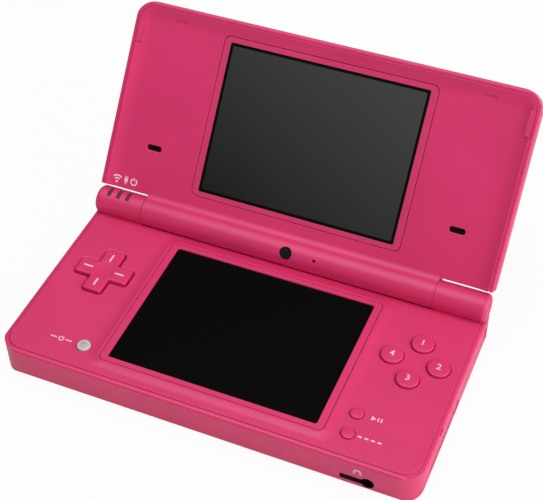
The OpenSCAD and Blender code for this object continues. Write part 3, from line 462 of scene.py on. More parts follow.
@dataclass(frozen=True)
class WrappedCell:
    """Shrink-wrapped battery cell with a bare paler band across it."""

    name: str
    colour: Point = (0.045, 0.047, 0.052)
    band: Point = (0.30, 0.31, 0.33)
    band_mm: float = 7
    band_edge_mm: float = 0.1

    def material(self) -> bpy.types.Material:
        """Builds the material: a band round the cell's middle, and wrinkles.

        Returns:
            The material.
        """
        g = Graph(self.name)
        place = g.object_point(tuple(extent_of("battery_pack").middle * MM))
        reach = g.add("ShaderNodeMath", {"operation": "ABSOLUTE"}, {0: g.along_x(place)})
        half = self.band_mm / 2
        band = 1 - g.ramp(reach, half * MM, (half + self.band_edge_mm) * MM)
        wrinkle = g.noise(place, 2.2, 3)
        return g.surface(
            Base_Color=g.blend(band, self.colour, self.band),
            Roughness=0.38 + 0.15 * wrinkle,
            Normal=g.bump(wrinkle, 0.05, 0.4),
        )


@dataclass(frozen=True)
class StylusPlastic:
    """White stylus with a coloured head at its outer end."""

    name: str
    shaft: Point
    head: Point
    head_mm: float = 6.3
    seam_mm: float = 0.05

    def material(self) -> bpy.types.Material:
        """Builds the material: two colours that meet at a seam, and a fine grain.

        Returns:
            The material.
        """
        g = Graph(self.name)
        place = g.object_point()
        start = extent_of("stylus").high.x - self.head_mm
        mask = g.ramp(g.along_x(place), (start - self.seam_mm) * MM, start * MM)
        grain = g.noise(place, 0.4, 2)
        return g.surface(
            Base_Color=g.blend(mask, self.shaft, self.head),
            Roughness=0.34 + 0.08 * grain,
            Normal=g.bump(grain, 0.006, 0.4),
        )


class Looks(dict[str, bpy.types.Material]):
    """The object's materials: one for each slot of the record, and three more."""

    pink: Point = (0.69, 0.028, 0.142)
    pink_case: Point = (0.70, 0.029, 0.144)
    painted_reflection_way: Point = (0.49, 0.87, 0)  # the way in which the painted reflection brightens the upper glass, on the lid
    painted_reflection_span: float = 77

    def __init__(self) -> None:
        """Builds each material once."""
        painted_reflection_axis = LID.matrix.to_3x3() @ Vector(self.painted_reflection_way)
        plastic = MouldedPlastic
        finishes = {
            "case_shell": plastic("case_pink", self.pink_case, 0.37),
            "deck_shell": plastic("deck_pink", self.pink, 0.42),
            "button_cap": plastic("cap_pink", self.pink, 0.36, grain_depth_mm=0.005),
            # the pink tint in this silver is a painted reflection of the pink case round it
            "power_cap": plastic(
                "power_cap_silver", (0.60, 0.51, 0.545), 0.38, grain_depth_mm=0.004
            ),
            "screen_black": DarkGlass(
                "touch_panel_black",
                (0.0022, 0.0024, 0.0023),
                (0.0030, 0.0032, 0.0031),
                roughness=0.45,
                specular=0.02,
            ),
            "lens_print": plastic(
                "lens_border_pink", (0.66, 0.038, 0.142), 0.24, grain_depth_mm=0.002, coat=0.3
            ),
            "display_module": plastic("module_black", (0.012, 0.012, 0.014), 0.3),
            "rubber": Rubber("silicone_grey", (0.30, 0.30, 0.31)),
            "bumper_rubber": plastic("bumper_pink", (0.70, 0.038, 0.155), 0.5),
            "board": CircuitBoard("circuit_green"),
            "battery": WrappedCell("cell_wrap"),
            "steel": Metal("plated_steel", (0.62, 0.63, 0.65)),
            "brass": Metal("plated_brass", (0.72, 0.52, 0.22)),
            "dark_plastic": plastic("dark_plastic", (0.005, 0.004, 0.005), 0.6, specular=0.1),
            "stylus_plastic": StylusPlastic("stylus_two_tone", (0.80, 0.80, 0.81), self.pink_case),
            "light_pipe": plastic(
                "smoked_light_pipe", (0.12, 0.035, 0.062), 0.5, grain_depth_mm=0.002, specular=0.08
            ),
            "camera_glass": DarkGlass(
                "camera_window", (0.004, 0.004, 0.006), (0.008, 0.007, 0.012), roughness=0.06
            ),
            "flex": plastic("amber_flex", (0.42, 0.19, 0.05), 0.3, coat=0.4),
            "print_white": plastic(
                "printed_pale_pink", (0.95, 0.56, 0.66), 0.5, grain_depth_mm=0.002
            ),
            # upper glass: near black, brightened along a slant across the lid by a painted reflection
            "upper_glass": DarkGlass(
                "upper_window_painted_reflection",
                (0.014, 0.014, 0.014),
                (0.057, 0.059, 0.058),
                tuple(LID.matrix @ (LID.extent("upper_lens").middle * MM)),
                tuple(painted_reflection_axis.rotation_difference(Vector((1, 0, 0))).to_euler()),
                self.painted_reflection_span,
                roughness=0.4,
                specular=0.08,
            ),
            "window_black": DarkGlass(
                "window_border_black",
                (0.003, 0.003, 0.003),
                (0.004, 0.004, 0.004),
                roughness=0.4,
                specular=0.03,
            ),
        }
        super().__init__({slot: finish.material() for slot, finish in finishes.items()})


# ---------- The modelling bench ----------


def clear_selection() -> None:
    """Leaves nothing selected and nothing in edit mode."""
    if bpy.context.object is not None and bpy.context.object.mode != "OBJECT":
        bpy.ops.object.mode_set(mode="OBJECT")
    for obj in bpy.context.selected_objects:
        obj.select_set(False)
    bpy.context.view_layer.objects.active = None


def metres(*values: float) -> Point:
    """Turns millimetres into metres."""
    return tuple(v * MM for v in values)


def shift(*values: float) -> Matrix:
    """Gives the matrix of a move in millimetres."""
    return Matrix.Translation(metres(*values))


def turn(degrees: float, axis: str = "Z") -> Matrix:
    """Gives the matrix of a turn about an axis through the origin."""
    return Matrix.Rotation(math.radians(degrees), 4, axis)


def grown(size: Sequence[float], by: float) -> Point:
    """Grows an outline's width, depth and corner radius all round."""
    return (size[0] + 2 * by, size[1] + 2 * by, size[2] + by)


def round_over(radius: float, steps: int = 4) -> Steps:
    """Steps that round the edge of a face: out of its side and over to its top.

    Args:
        radius: Radius of the rounding.
        steps: Facets across it.

    Returns:
        The steps.
    """
    turns = [math.pi / 2 * k / steps for k in range(steps + 1)]
    ring = [(math.cos(a), math.sin(a)) for a in turns]
    return [(radius * (a - c), radius * (d - b)) for (a, b), (c, d) in zip(ring, ring[1:])]


def flare(radius: float) -> Steps:
    """Steps that lead from a wide mouth into a hole, going down."""
    return [(inset, rise) for rise, inset in round_over(radius)]


def crown(radius: float, rise: float, steps: int) -> Steps:
    """Steps that carry a round face up to a low crown, with a small flat top.

    Args:
        radius: Radius of the face.
        rise: Height of the crown.
        steps: Facets on the way to its top.

    Returns:
        The steps.
    """
    flat = 0.6  # half width of the flat top, in steps
    shares = [k / (steps + flat) for k in range(steps + 1)]
    ring = [(share, 1 - (1 - share) ** 2) for share in shares]
    return [(radius * (c - a), rise * (d - b)) for (a, b), (c, d) in zip(ring, ring[1:])]


class Workpiece:
    """One mesh in the making, shaped by operators."""

    cutter_above: float = 2  # how far a cutter stands above its mouth
    downwards: float = -0.99  # highest upward part of the normal of a face that looks down
    smooth_angle: float = 32  # degrees up to which two faces are shaded as one
    face_weight: int = 80  # how much more a large face counts in its corners' normals

    def __init__(self, name: str) -> None:
        """Takes up the object that an operator has just added, with its place in its mesh.

        Args:
            name: Name of the piece.
        """
        self.obj = bpy.context.object
        self.rename(name)
        bpy.ops.object.transform_apply()

    def rename(self, name: str) -> None:
        """Names the object and its mesh."""
        self.obj.name = self.obj.data.name = name

    # -- starts: each gives the new piece, and a flat one faces up --

    @classmethod
    def start(
        cls, name: str, add: Callable, at: Point, scale: Point = (1, 1, 1), **settings: object
    ) -> "Workpiece":
        """Starts a piece from a primitive.

        Args:
            name: Name of the piece.
            add: Operator that adds the primitive.
            at: Its centre.
            scale: Its scale.
            **settings: What else the operator takes.

        Returns:
            The piece.
        """
        clear_selection()
        add(location=metres(*at), **settings)
        bpy.context.object.scale = scale
        return cls(name)

    @classmethod
    def disc(cls, name: str, radius: float, at: Point, sides: int = 64) -> "Workpiece":
        """Starts a round plate."""
        settings = {"vertices": sides, "radius": radius * MM, "fill_type": "NGON"}
        return cls.start(name, bpy.ops.mesh.primitive_circle_add, at, **settings)

    @classmethod
    def slab(
        cls, name: str, size: Sequence[float], at: Point, arc: int = 8, near: float | None = None
    ) -> "Workpiece":
        """Starts a rectangular plate with round corners.

        Args:
            name: Name of the piece.
            size: Its width, its depth and the radius of its corners.
            at: Its centre.
            arc: Segments of each corner.
            near: Radius of the two corners at low Y, if another.

        Returns:
            The piece.
        """
        width, depth, radius = size
        piece = cls.start(name, bpy.ops.mesh.primitive_plane_add, at, (width, depth, 1), size=MM)
        for corner, is_near in ((radius, False), (radius if near is None else near, True)):
            piece.bevel(Kind.VERTEX, lambda p: (p.y < at[1]) == is_near, corner, arc)
        return piece

    @classmethod
    def cross(cls, name: str, size: Sequence[float], inner: float, at: Point) -> "Workpiece":
        """Starts a cross-shaped plate.

        Args:
            name: Name of the piece.
            size: Its length from end to end, an arm's width and the radius of its outer corners.
            inner: Radius of the corners between its arms.
            at: Its centre.

        Returns:
            The piece.
        """
        span, arm, radius = size
        piece = cls.start(name, bpy.ops.mesh.primitive_plane_add, at, size=arm * MM)
        reach = (span - arm) / 2
        for x, y in ((1, 0), (-1, 0), (0, 1), (0, -1)):
            edge = Vector((at[0] + x * arm / 2, at[1] + y * arm / 2, at[2]))
            piece.pick(Kind.EDGE, lambda p: (p - edge).length < NEAR)
            move = {"value": metres(x * reach, y * reach, 0)}
            piece.edit(lambda: bpy.ops.mesh.extrude_edges_move(TRANSFORM_OT_translate=move))
        piece.pick(Kind.FACE)
        piece.edit(lambda: bpy.ops.mesh.dissolve_faces())
        for is_end, corner in ((False, inner), (True, radius)):
            piece.bevel(
                Kind.VERTEX,
                lambda p: (max(abs(p.x - at[0]), abs(p.y - at[1])) > span / 2 - NEAR) == is_end,
                corner,
                6,
            )
        return piece

    @classmethod
    def block(cls, name: str, low: Point, high: Point) -> "Workpiece":
        """Starts a box between two corners."""
        middle, size = zip(*(((a + b) / 2, b - a) for a, b in zip(low, high)))
        return cls.start(name, bpy.ops.mesh.primitive_cube_add, middle, size, size=MM)

    @classmethod
    def rod(
        cls, name: str, start: float, end: float, radius: float, at: Spot, sides: int = 128
    ) -> "Workpiece":
        """Starts a round rod between two stations along X, with its axis at a place across X.

        Args:
            name: Name of the piece.
            start: Its first station.
            end: Its last station.
            radius: Its radius.
            at: Place of its axis.
            sides: Facets round it.

        Returns:
            The piece.
        """
        middle = ((start + end) / 2, *at)
        size = {"vertices": sides, "radius": radius * MM, "depth": (end - start) * MM}
        add = bpy.ops.mesh.primitive_cylinder_add
        return cls.start(name, add, middle, rotation=(0, math.pi / 2, 0), **size)

    @classmethod
    def tablet(
        cls,
        name: str,
        size: Sequence[float],
        at: Point,
        height: float,
        edge: float,
        facets: int = 3,
        **slab: float,
    ) -> "Workpiece":
        """Makes a slab solid, with a rounded upper edge of some facets; its top stays selected."""
        piece = cls.slab(name, size, at, **slab)
        return piece.raise_solid(height - edge).shape_face(round_over(edge, facets))

    @classmethod
    def cutter(
        cls, name: str, size: Sequence[float], at: Point, lip: float, depth: float, arc: int = 8
    ) -> "Workpiece":
        """Makes a cutter for an opening like a slab, whose mouth is flared by a lip's radius."""
        return cls.slab(name, grown(size, lip), at, arc).into_cutter(lip, depth)

    # -- selecting and shaping: what shapes gives the piece itself --

    def activate(self) -> None:
        """Makes this the only selected object, and the active one."""
        clear_selection()
        self.obj.select_set(True)
        bpy.context.view_layer.objects.active = self.obj

    def pick(self, kind: Kind, test: Callable[[Vector], bool] = lambda p: True) -> None:
        """Selects what lies where a test says.

        Args:
            kind: What is selected.
            test: Takes the middle of an element, in millimetres, and says whether it is wanted.
        """
        self.activate()
        mesh = self.obj.data
        bpy.context.tool_settings.mesh_select_mode = kind.value
        for group in (mesh.vertices, mesh.edges, mesh.polygons):
            group.foreach_set("select", [False] * len(group))
        if kind is Kind.VERTEX:
            for v in mesh.vertices:
                v.select = test(v.co / MM)
        elif kind is Kind.EDGE:
            for e in mesh.edges:
                a, b = (mesh.vertices[k].co for k in e.vertices)
                e.select = test((a + b) / 2 / MM)
        else:
            for p in mesh.polygons:
                p.select = test(p.center / MM)

    def pick_faces(self, wanted: Callable[[bpy.types.MeshPolygon], bool]) -> None:
        """Selects faces by themselves, such as by normal or number.

        Args:
            wanted: Says whether a face is wanted.
        """
        self.pick(Kind.FACE, lambda p: False)
        for p in self.obj.data.polygons:
            p.select = wanted(p)

    def pick_underside(self) -> None:
        """Selects the faces that look down."""
        self.pick_faces(lambda p: p.normal.z < self.downwards)

    def edit(self, *actions: Callable[[], object]) -> "Workpiece":
        """Runs operators in edit mode on what is selected.

        Args:
            *actions: Calls of operators.

        Returns:
            The piece itself.
        """
        bpy.ops.object.mode_set(mode="EDIT")
        for action in actions:
            action()
        bpy.ops.object.mode_set(mode="OBJECT")
        return self

    def lift(self, height: float) -> "Workpiece":
        """Pulls the selected face straight up; it stays selected."""
        move = {"value": metres(0, 0, height)}
        return self.edit(lambda: bpy.ops.mesh.extrude_region_move(TRANSFORM_OT_translate=move))

    def raise_solid(self, height: float) -> "Workpiece":
        """Pulls a flat plate up, or down, into a closed solid whose moved face stays selected.

        Args:
            height: How far, upwards.

        Returns:
            The piece itself.
        """
        self.pick(Kind.FACE)
        self.lift(height)
        moved = {p.index for p in self.obj.data.polygons if p.select}
        self.face_outwards()
        self.pick_faces(lambda p: p.index in moved)
        return self

    def face_outwards(self) -> None:
        """Turns all faces outwards, and leaves them selected."""
        self.pick(Kind.FACE)
        self.edit(lambda: bpy.ops.mesh.normals_make_consistent(inside=False))

    def shape_face(self, steps: Steps) -> "Workpiece":
        """Insets the selected face again and again, and moves it along its normal each time.

        Args:
            steps: Pairs of inset and rise.

        Returns:
            The piece itself.
        """
        self.activate()
        bpy.context.tool_settings.mesh_select_mode = Kind.FACE.value
        sizes = [{"thickness": inset * MM, "depth": rise * MM} for inset, rise in steps]
        inset = partial(bpy.ops.mesh.inset, use_even_offset=True)
        return self.edit(*(partial(inset, **size) for size in sizes))

    def into_cutter(self, lip: float, depth: float) -> "Workpiece":
        """Turns a flat outline, grown by a lip's radius, into a cutter with a flared mouth.

        Args:
            lip: Radius of the mouth's rounding.
            depth: How deep it reaches below the mouth.

        Returns:
            The piece itself.
        """
        self.raise_solid(self.cutter_above)
        self.pick_underside()
        return self.shape_face(flare(lip) if lip else []).lift(lip - depth)

    def bevel(
        self, kind: Kind, test: Callable[[Vector], bool], width: float, segments: int
    ) -> "Workpiece":
        """Rounds the edges, or the corners of a flat outline, whose middle passes a test.

        Args:
            kind: Whether edges or corners are rounded.
            test: Takes a middle in millimetres.
            width: Width of the rounding.
            segments: Facets across it.

        Returns:
            The piece itself.
        """
        self.pick(kind, test)
        size = {"offset": width * MM, "segments": segments, "profile": 0.5}
        affect = "VERTICES" if kind is Kind.VERTEX else "EDGES"
        return self.edit(lambda: bpy.ops.mesh.bevel(affect=affect, clamp_overlap=False, **size))

    def bisect(self, at: Vector, normal: Vector, clear: bool = False) -> "Workpiece":
        """Cuts all faces along a plane, and can clear what is behind it and close the cut.

        Args:
            at: A point of the plane.
            normal: Its normal.
            clear: Whether one side is cleared.

        Returns:
            The piece itself.
        """
        self.pick(Kind.FACE)
        plane = {"plane_co": at * MM, "plane_no": normal, "threshold": PLANE_HAIR}
        return self.edit(lambda: bpy.ops.mesh.bisect(clear_inner=clear, use_fill=clear, **plane))

    def score(self, along: Vector, places: Sequence[float]) -> "Workpiece":
        """Runs edges round the piece, so that a hole on them is a notch in several faces.

        Args:
            along: Direction across the edges.
            places: Where they run.

        Returns:
            The piece itself.
        """
        for place in places:
            self.bisect(along * place, along)
        return self

    # -- joining and finishing: these give the piece itself, too --

    def modify(self, kind: str, **settings: object) -> "Workpiece":
        """Adds a modifier and applies it.

        Args:
            kind: Its type.
            **settings: Its properties.

        Returns:
            The piece itself.
        """
        self.activate()
        modifier = self.obj.modifiers.new(kind.lower(), kind)
        for name, value in settings.items():
            setattr(modifier, name, value)
        bpy.ops.object.modifier_apply(modifier=modifier.name)
        return self

    def join(self, way: Join, *tools: "Workpiece") -> "Workpiece":
        """Adds solids to this one or cuts it with them; the tools are used up.

        Args:
            way: How they are put together.
            *tools: The other solids, clear of each other.

        Returns:
            The piece itself.
        """
        for tool in tools:
            self.modify("BOOLEAN", operation=way.value, solver="EXACT", object=tool.obj)
            bpy.data.objects.remove(tool.obj)
            self.tidy()
        return self

    def tidy(self) -> "Workpiece":
        """Merges points within a hair of each other and removes faces that have no area.

        Returns:
            The piece itself.
        """
        self.pick(Kind.VERTEX)
        return self.edit(
            lambda: bpy.ops.mesh.remove_doubles(threshold=HAIR),
            lambda: bpy.ops.mesh.dissolve_degenerate(threshold=HAIR),
        )

    def absorb(self, others: Sequence["Workpiece"]) -> "Workpiece":
        """Makes other pieces part of this one's mesh, as separate shells.

        Args:
            others: Pieces that are used up.

        Returns:
            The piece itself.
        """
        if others:
            self.activate()
            for other in others:
                other.obj.select_set(True)
            bpy.ops.object.join()
        return self

    def place(self, matrix: Matrix) -> "Workpiece":
        """Moves the piece by a matrix in metres, and puts its place in its mesh.

        Args:
            matrix: The move.

        Returns:
            The piece itself.
        """
        self.activate()
        self.obj.matrix_world = matrix
        bpy.ops.object.transform_apply()
        return self

    def finish(
        self, body: str, slot: str, material: bpy.types.Material, replaces: Sequence[str]
    ) -> bpy.types.Object:
        """Cleans, shades, dresses and mounts the piece.

        Args:
            body: The body that it rides on.
            slot: The record's material slot; not used.
            material: Its finish.
            replaces: CAD nodes that it stands for.

        Returns:
            The finished object.
        """
        self.tidy().activate()
        bpy.ops.object.shade_smooth_by_angle(angle=math.radians(self.smooth_angle))
        self.modify("WEIGHTED_NORMAL", keep_sharp=True, weight=self.face_weight)
        self.obj.data.materials.clear()
        self.obj.data.materials.append(material)
        for p in self.obj.data.polygons:
            p.material_index = 0
        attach(self.obj, body)
        if replaces:
            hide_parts(*replaces)
        log.info("%s: %d faces on %s", self.obj.name, len(self.obj.data.polygons), body)
        return self.obj


# ---------- Flat marks, drawn round the origin ----------


def bar(length: float, width: float, at: Spot = (0, 0), angle: float = 0) -> Workpiece:
    """Draws a bar with round ends, turned by some degrees."""
    piece = Workpiece.slab("bar", (length, width, width * ROUND_END), (0, 0, 0), 3)
    return piece.place(shift(*at, 0) @ turn(angle))


def arc(radius: float, width: float, start: float, end: float, at: Spot = (0, 0)) -> Workpiece:
    """Draws an arc by spinning an edge.

    Args:
        radius: Its middle radius.
        width: Its width.
        start: Its first angle in degrees.
        end: Its last angle in degrees.
        at: Its centre.

    Returns:
        The flat mark.
    """
    facet = 9  # degrees
    add = bpy.ops.mesh.primitive_plane_add
    piece = Workpiece.start("arc", add, (radius, 0, 0), size=width * MM)
    piece.pick(Kind.VERTEX, lambda p: p.y > 0)
    piece.edit(lambda: bpy.ops.mesh.delete(type="VERT"))
    piece.pick(Kind.VERTEX)
    sweep = {"steps": max(4, int((end - start) / facet)), "angle": math.radians(start - end)}
    piece.edit(
        lambda: bpy.ops.transform.translate(value=metres(0, width / 2, 0)),
        lambda: bpy.ops.mesh.spin(center=(0, 0, 0), axis=(0, 0, 1), **sweep),
    )
    return piece.place(shift(*at, 0) @ turn(start))


def numeral(text: str, height: float) -> Workpiece:
    """Draws a numeral.

    Args:
        text: The numeral.
        height: Its height.

    Returns:
        The flat mark, centred.
    """
    digit_share, weight = 0.7, 0.03  # a digit's height in its line, and the growth of its outline
    clear_selection()
    bpy.ops.object.text_add(location=(0, 0, 0))
    letter = bpy.context.object.data
    letter.body = text
    letter.align_x = letter.align_y = "CENTER"
    letter.size = height * MM / digit_share
    letter.offset = weight * MM
    letter.resolution_u = 3
    bpy.ops.object.convert(target="MESH")
    return Workpiece("numeral")


def power_sign(radius: float, stroke: float, length: float, level: float) -> list[Workpiece]:
    """Draws a ring that is open at its top, and a bar of a length at a level in the opening."""
    return [arc(radius, stroke, *RING_SWEEP), bar(length, stroke, (0, level), 90)]


# ---------- Sub-assemblies ----------


@dataclass
class Part:
    """A sub-assembly, which mounts its pieces in the object's finishes."""

    looks: Looks
    body: ClassVar[Body] = Body.BASE
    mark_skin: ClassVar[float] = 0.02
    mark_lift: ClassVar[float] = 0.012

    def mount(
        self, piece: Workpiece, slot: str, *replaced: str, look: str = "", body: str = ""
    ) -> bpy.types.Object:
        """Finishes a piece in its slot's look on the part's body, unless others are named."""
        return piece.finish(body or self.body.value, slot, self.looks[look or slot], replaced)

    def print_on(
        self,
        onto: bpy.types.Object,
        name: str,
        marks: Sequence[Workpiece],
        where: Matrix,
        slot: str,
        look: str = "print_white",
        body: str = "",
    ) -> None:
        """Joins marks, moves them over a surface, wraps them on it as a thin skin and mounts them.

        Args:
            onto: The object whose surface they lie on.
            name: Name of the piece.
            marks: The flat marks.
            where: Their place, in metres.
            slot: The record's material slot.
            look: Their finish.
            body: The body that they ride on, if not the part's.
        """
        piece = marks[0].absorb(marks[1:])
        piece.rename(name)
        piece.place(where).pick(Kind.FACE)
        piece.edit(
            lambda: bpy.ops.mesh.remove_doubles(threshold=HAIR / 2),
            lambda: bpy.ops.mesh.quads_convert_to_tris(),
            lambda: bpy.ops.mesh.subdivide(number_cuts=1),
        )
        piece.modify(
            "SHRINKWRAP",
            target=onto,
            wrap_method="NEAREST_SURFACEPOINT",
            wrap_mode="ABOVE_SURFACE",
            offset=self.mark_lift * MM,
        )
        piece.modify("SOLIDIFY", thickness=self.mark_skin * MM, offset=0)
        self.mount(piece, slot, look=look, body=body)


@dataclass
class ControlDeck(Part):
    """Upper shell of the base: plate, raised screen surround, trough and end knuckles."""

    plate: Point = (134.0, 71.9, 5.5)
    bottom: float = 9.9
    top: float = 11.4
    edge_round: float = 0.3
    plateau: Spot = (75.1, 55.5)
    foot: Point = (81.9, 60.1, 4.2)
    slope_steps: int = 9
    slope_sunk: float = 0.012
    root: float = 0.4
    screen_opening: Point = (73.4, 53.8, 1.6)
    screen_lip: float = 0.15
    barrel_r: float = 4.8
    knuckle_in: float = 51.05
    knuckle_out: float = 68.3
    knuckle_root: float = 0.6
    knuckle_round: float = 1.7
    wall_top: float = 11.25
    trough_r: float = 5.1
    trough_front: float = 25.0
    trough_bottom: float = 8.0
    trough_floor: float = 9.0
    trough_under: float = 0.05
    pad_hole: Point = (18.8, 7.0, 1.1)
    pad_inner: float = 0.15
    pad_lip: float = 0.9
    round_holes: tuple[tuple[float, float, tuple[str, ...]], ...] = (
        (3.75, 0.3, ("button_top", "button_left", "button_right", "button_bottom")),
        (2.2, 0.25, ("start_button", "select_button")),
        (2.35, 0.25, ("power_button",)),
    )
    scored_x: tuple[str, ...] = (
        "dpad", "power_button", "lower_screen_frame", "start_button", "button_top"
    )
    scored_y: str = "button_left"
    light: Spot = (1.4, 2.6)
    light_out: float = 4.6
    light_from: float = 63
    light_to: float = 108
    axis: ClassVar[Vector] = LID.axis / MM

    def build(self) -> Workpiece:
        """Models the shell.

        Returns:
            The shell.
        """
        half, rear = self.knuckle_in, self.plate[1] / 2
        y, z = self.axis.y, self.axis.z
        thick = self.top - self.bottom
        deck = Workpiece.tablet(
            "base_deck_shell", self.plate, (0, 0, self.bottom), thick, self.edge_round, arc=10
        )
        wide, top = half + 2 * SPARE, self.top - self.trough_under
        low = (-wide, self.trough_front, self.trough_bottom)
        block = Workpiece.block("trough_block", low, (wide, rear, top))
        deck.join(Join.ADD, self.surround(), block, self.knuckle(-1), self.knuckle(1))
        turning = Workpiece.rod("trough_cutter", -half, half, self.trough_r, (y, z))
        high = (half, rear + SPARE, z + self.barrel_r + SPARE)
        behind = Workpiece.block("trough_rear", (-half, y, self.trough_floor), high)
        deck.join(Join.CUT, turning, behind)
        holes_x = {round(extent_of(node).middle.x, 3) for node in self.scored_x}
        deck.score(Vector((1, 0, 0)), sorted(holes_x))
        deck.score(Vector((0, 1, 0)), [extent_of(self.scored_y).middle.y])
        return deck.join(Join.CUT, self.control_holes(), self.light_slots())

    def surround(self) -> Workpiece:
        """Models the screen's surround, with soft slopes that end level with the deck.

        Returns:
            The surround.
        """
        screen = extent_of("lower_screen_frame")
        x, y, rise = screen.middle.x, screen.middle.y, screen.high.z - self.top
        low, was, level = self.top - self.root, self.foot, -self.slope_sunk
        piece = Workpiece.slab("surround", self.foot, (x, y, low))
        piece.raise_solid(self.top - self.slope_sunk - low)
        centre = metres(x, y, self.top)
        for k in range(1, self.slope_steps + 1):
            t = k / self.slope_steps
            now = [a + (b - a) * t for a, b in zip(self.foot, self.plateau)]
            scale = (now[0] / was[0], now[1] / was[1], 1)
            piece.lift(rise * t * t - level)
            piece.edit(lambda: bpy.ops.transform.resize(value=scale, center_override=centre))
            was, level = now, rise * t * t
        return piece

    def knuckle(self, side: int) -> Workpiece:
        """Models one end of the hinge, with a rounded outer end.

        Args:
            side: -1 for the left end, 1 for the right.

        Returns:
            The knuckle, cut level above the housing's wall.
        """
        outer = side * self.knuckle_out
        ends = sorted((side * (self.knuckle_in - self.knuckle_root), outer))
        piece = Workpiece.rod("knuckle", *ends, self.barrel_r, (self.axis.y, self.axis.z))
        piece.bevel(Kind.EDGE, lambda p: abs(p.x - outer) < NEAR, self.knuckle_round, 8)
        up = Vector((0, 0, 1))
        return piece.bisect(up * self.wall_top, up, clear=True).tidy()

    def control_holes(self) -> Workpiece:
        """Models one cutter for the screen opening and all control holes.

        Returns:
            The cutter.
        """
        through = self.top - self.bottom + 4 * SPARE
        screen, pad = extent_of("lower_screen_frame"), extent_of("dpad").middle
        mouth = (screen.middle.x, screen.middle.y, screen.high.z)
        holes = Workpiece.cutter(
            "control_holes", self.screen_opening, mouth, self.screen_lip, through
        )
        size = grown(self.pad_hole, self.pad_lip)
        pad_hole = Workpiece.cross("pad_hole", size, self.pad_inner, (pad.x, pad.y, self.top))
        others = [pad_hole.into_cutter(self.pad_lip, through)]
        for radius, lip, nodes in self.round_holes:
            for node in nodes:
                at = extent_of(node).middle
                hole = Workpiece.disc("hole", radius + lip, (at.x, at.y, self.top))
                others.append(hole.into_cutter(lip, through))
        return holes.absorb(others)

    def light_slots(self) -> Workpiece:
        """Models the three slots round the left knuckle by spinning a small face about its axis.

        Returns:
            The cutter.
        """
        pipes, (_, y, z), width = extent_of("status_light_pipes"), self.axis, self.light[0]
        first, last = pipes.low.x + width / 2, pipes.high.x - width / 2
        sweep = {"steps": 16, "angle": math.radians(self.light_to - self.light_from)}
        slots = []
        for x in (first, (first + last) / 2, last):
            place = (x, y, z + self.light_out)
            slot = Workpiece.start(
                "light_slot",
                bpy.ops.mesh.primitive_plane_add,
                place,
                (*self.light, 1),
                size=MM,
                rotation=(math.pi / 2, 0, 0),
            )
            slot.pick(Kind.FACE)
            centre = metres(x, y, z)
            slot.edit(lambda: bpy.ops.mesh.spin(center=centre, axis=(1, 0, 0), **sweep))
            slot.place(shift(x, y, z) @ turn(90 - self.light_from, "X") @ shift(-x, -y, -z))
            slot.face_outwards()
            slots.append(slot)
        return slots[0].absorb(slots[1:])

    def dress(self) -> bpy.types.Object:
        """Builds the shell and mounts it in place of the CAD deck."""
        return self.mount(self.build(), "deck_shell", "base_deck")


# ---------- Controls ----------


@dataclass
class DirectionPad(Part):
    """Cross-shaped pad with a shallow thumb dish, four raised dashes and a flange."""

    cross: Point = (18.2, 6.4, 0.8)
    inner_corner: float = 0.3
    edge: float = 0.5
    flange_t: float = 0.5
    dish_r: float = 30.0
    dish_depth: float = 0.3
    dish_rings: int = 10
    dish_skirt: float = 0.6
    dish_start: float = 0.05
    dish_sunk: float = 0.001
    socket_r: float = 0.9
    dash_at: float = 5.6
    dash: Spot = (3.2, 0.6)
    dash_root: float = 0.1
    dash_proud: float = 0.05
    dash_edge: float = 0.03

    def dish(self, x: float, y: float, top: float) -> Workpiece:
        """Models the cutter of the thumb dish, a shallow cap of a ball.

        Args:
            x: Place of its middle.
            y: Place of its middle.
            top: Height of the pad.

        Returns:
            The cutter.
        """
        reach = math.sqrt(2 * self.dish_r * self.dish_depth)
        wide = reach + self.dish_skirt
        dish = Workpiece.disc("thumb_dish", wide, (x, y, top + self.dish_start), 72)
        dish.raise_solid(1).pick_underside()
        steps = [(self.dish_skirt, self.dish_start - self.dish_sunk)]
        for k in range(self.dish_rings):
            ends = [reach * (1 - (k + j) / (self.dish_rings + 0.5)) for j in (0, 1)]
            drop = [self.dish_r - math.sqrt(self.dish_r**2 - r * r) for r in ends]
            steps.append((ends[0] - ends[1], drop[0] - drop[1]))
        return dish.shape_face(steps)

    def cap(self) -> Workpiece:
        """Models the cross with its dish and flange.

        Returns:
            The cap.
        """
        box = extent_of("dpad")
        x, y, foot = box.middle.x, box.middle.y, box.low.z
        pad = Workpiece.disc("direction_pad", box.size.x / 2, (x, y, foot), 96)
        pad.raise_solid(self.flange_t)
        root = self.flange_t / 2
        cross = Workpiece.cross("pad_cross", self.cross, self.inner_corner, (x, y, foot + root))
        cross.raise_solid(box.size.z - root - self.edge).shape_face(round_over(self.edge, 5))
        cross.join(Join.CUT, self.dish(x, y, box.high.z))
        pad.join(Join.ADD, cross)
        ball = {"segments": 32, "ring_count": 16, "radius": self.socket_r * MM}
        pivot = extent_of("dpad_pivot").middle
        add = bpy.ops.mesh.primitive_uv_sphere_add
        return pad.join(Join.CUT, Workpiece.start("socket", add, pivot, **ball))

    def dashes(self) -> Workpiece:
        """Models the four dashes, one on each arm.

        Returns:
            The dashes.
        """
        box, (length, width) = extent_of("dpad"), self.dash
        x0, y0, low = box.middle.x, box.middle.y, box.high.z - self.dash_root
        bars = []
        for x, y in ((1, 0), (-1, 0), (0, 1), (0, -1)):
            size = (length, width) if x else (width, length)
            at = (x0 + x * self.dash_at, y0 + y * self.dash_at, low)
            high = self.dash_root + self.dash_proud
            outline = (*size, width * ROUND_END)
            bars.append(
                Workpiece.tablet("pad_dashes", outline, at, high, self.dash_edge, 2, arc=4)
            )
        return bars[0].absorb(bars[1:])

    def dress(self) -> None:
        """Builds the pad and its dashes and mounts them on the pad's body."""
        self.mount(self.cap(), "button_cap", "dpad", body="dpad")
        self.mount(self.dashes(), "button_cap", look="print_white", body="dpad")


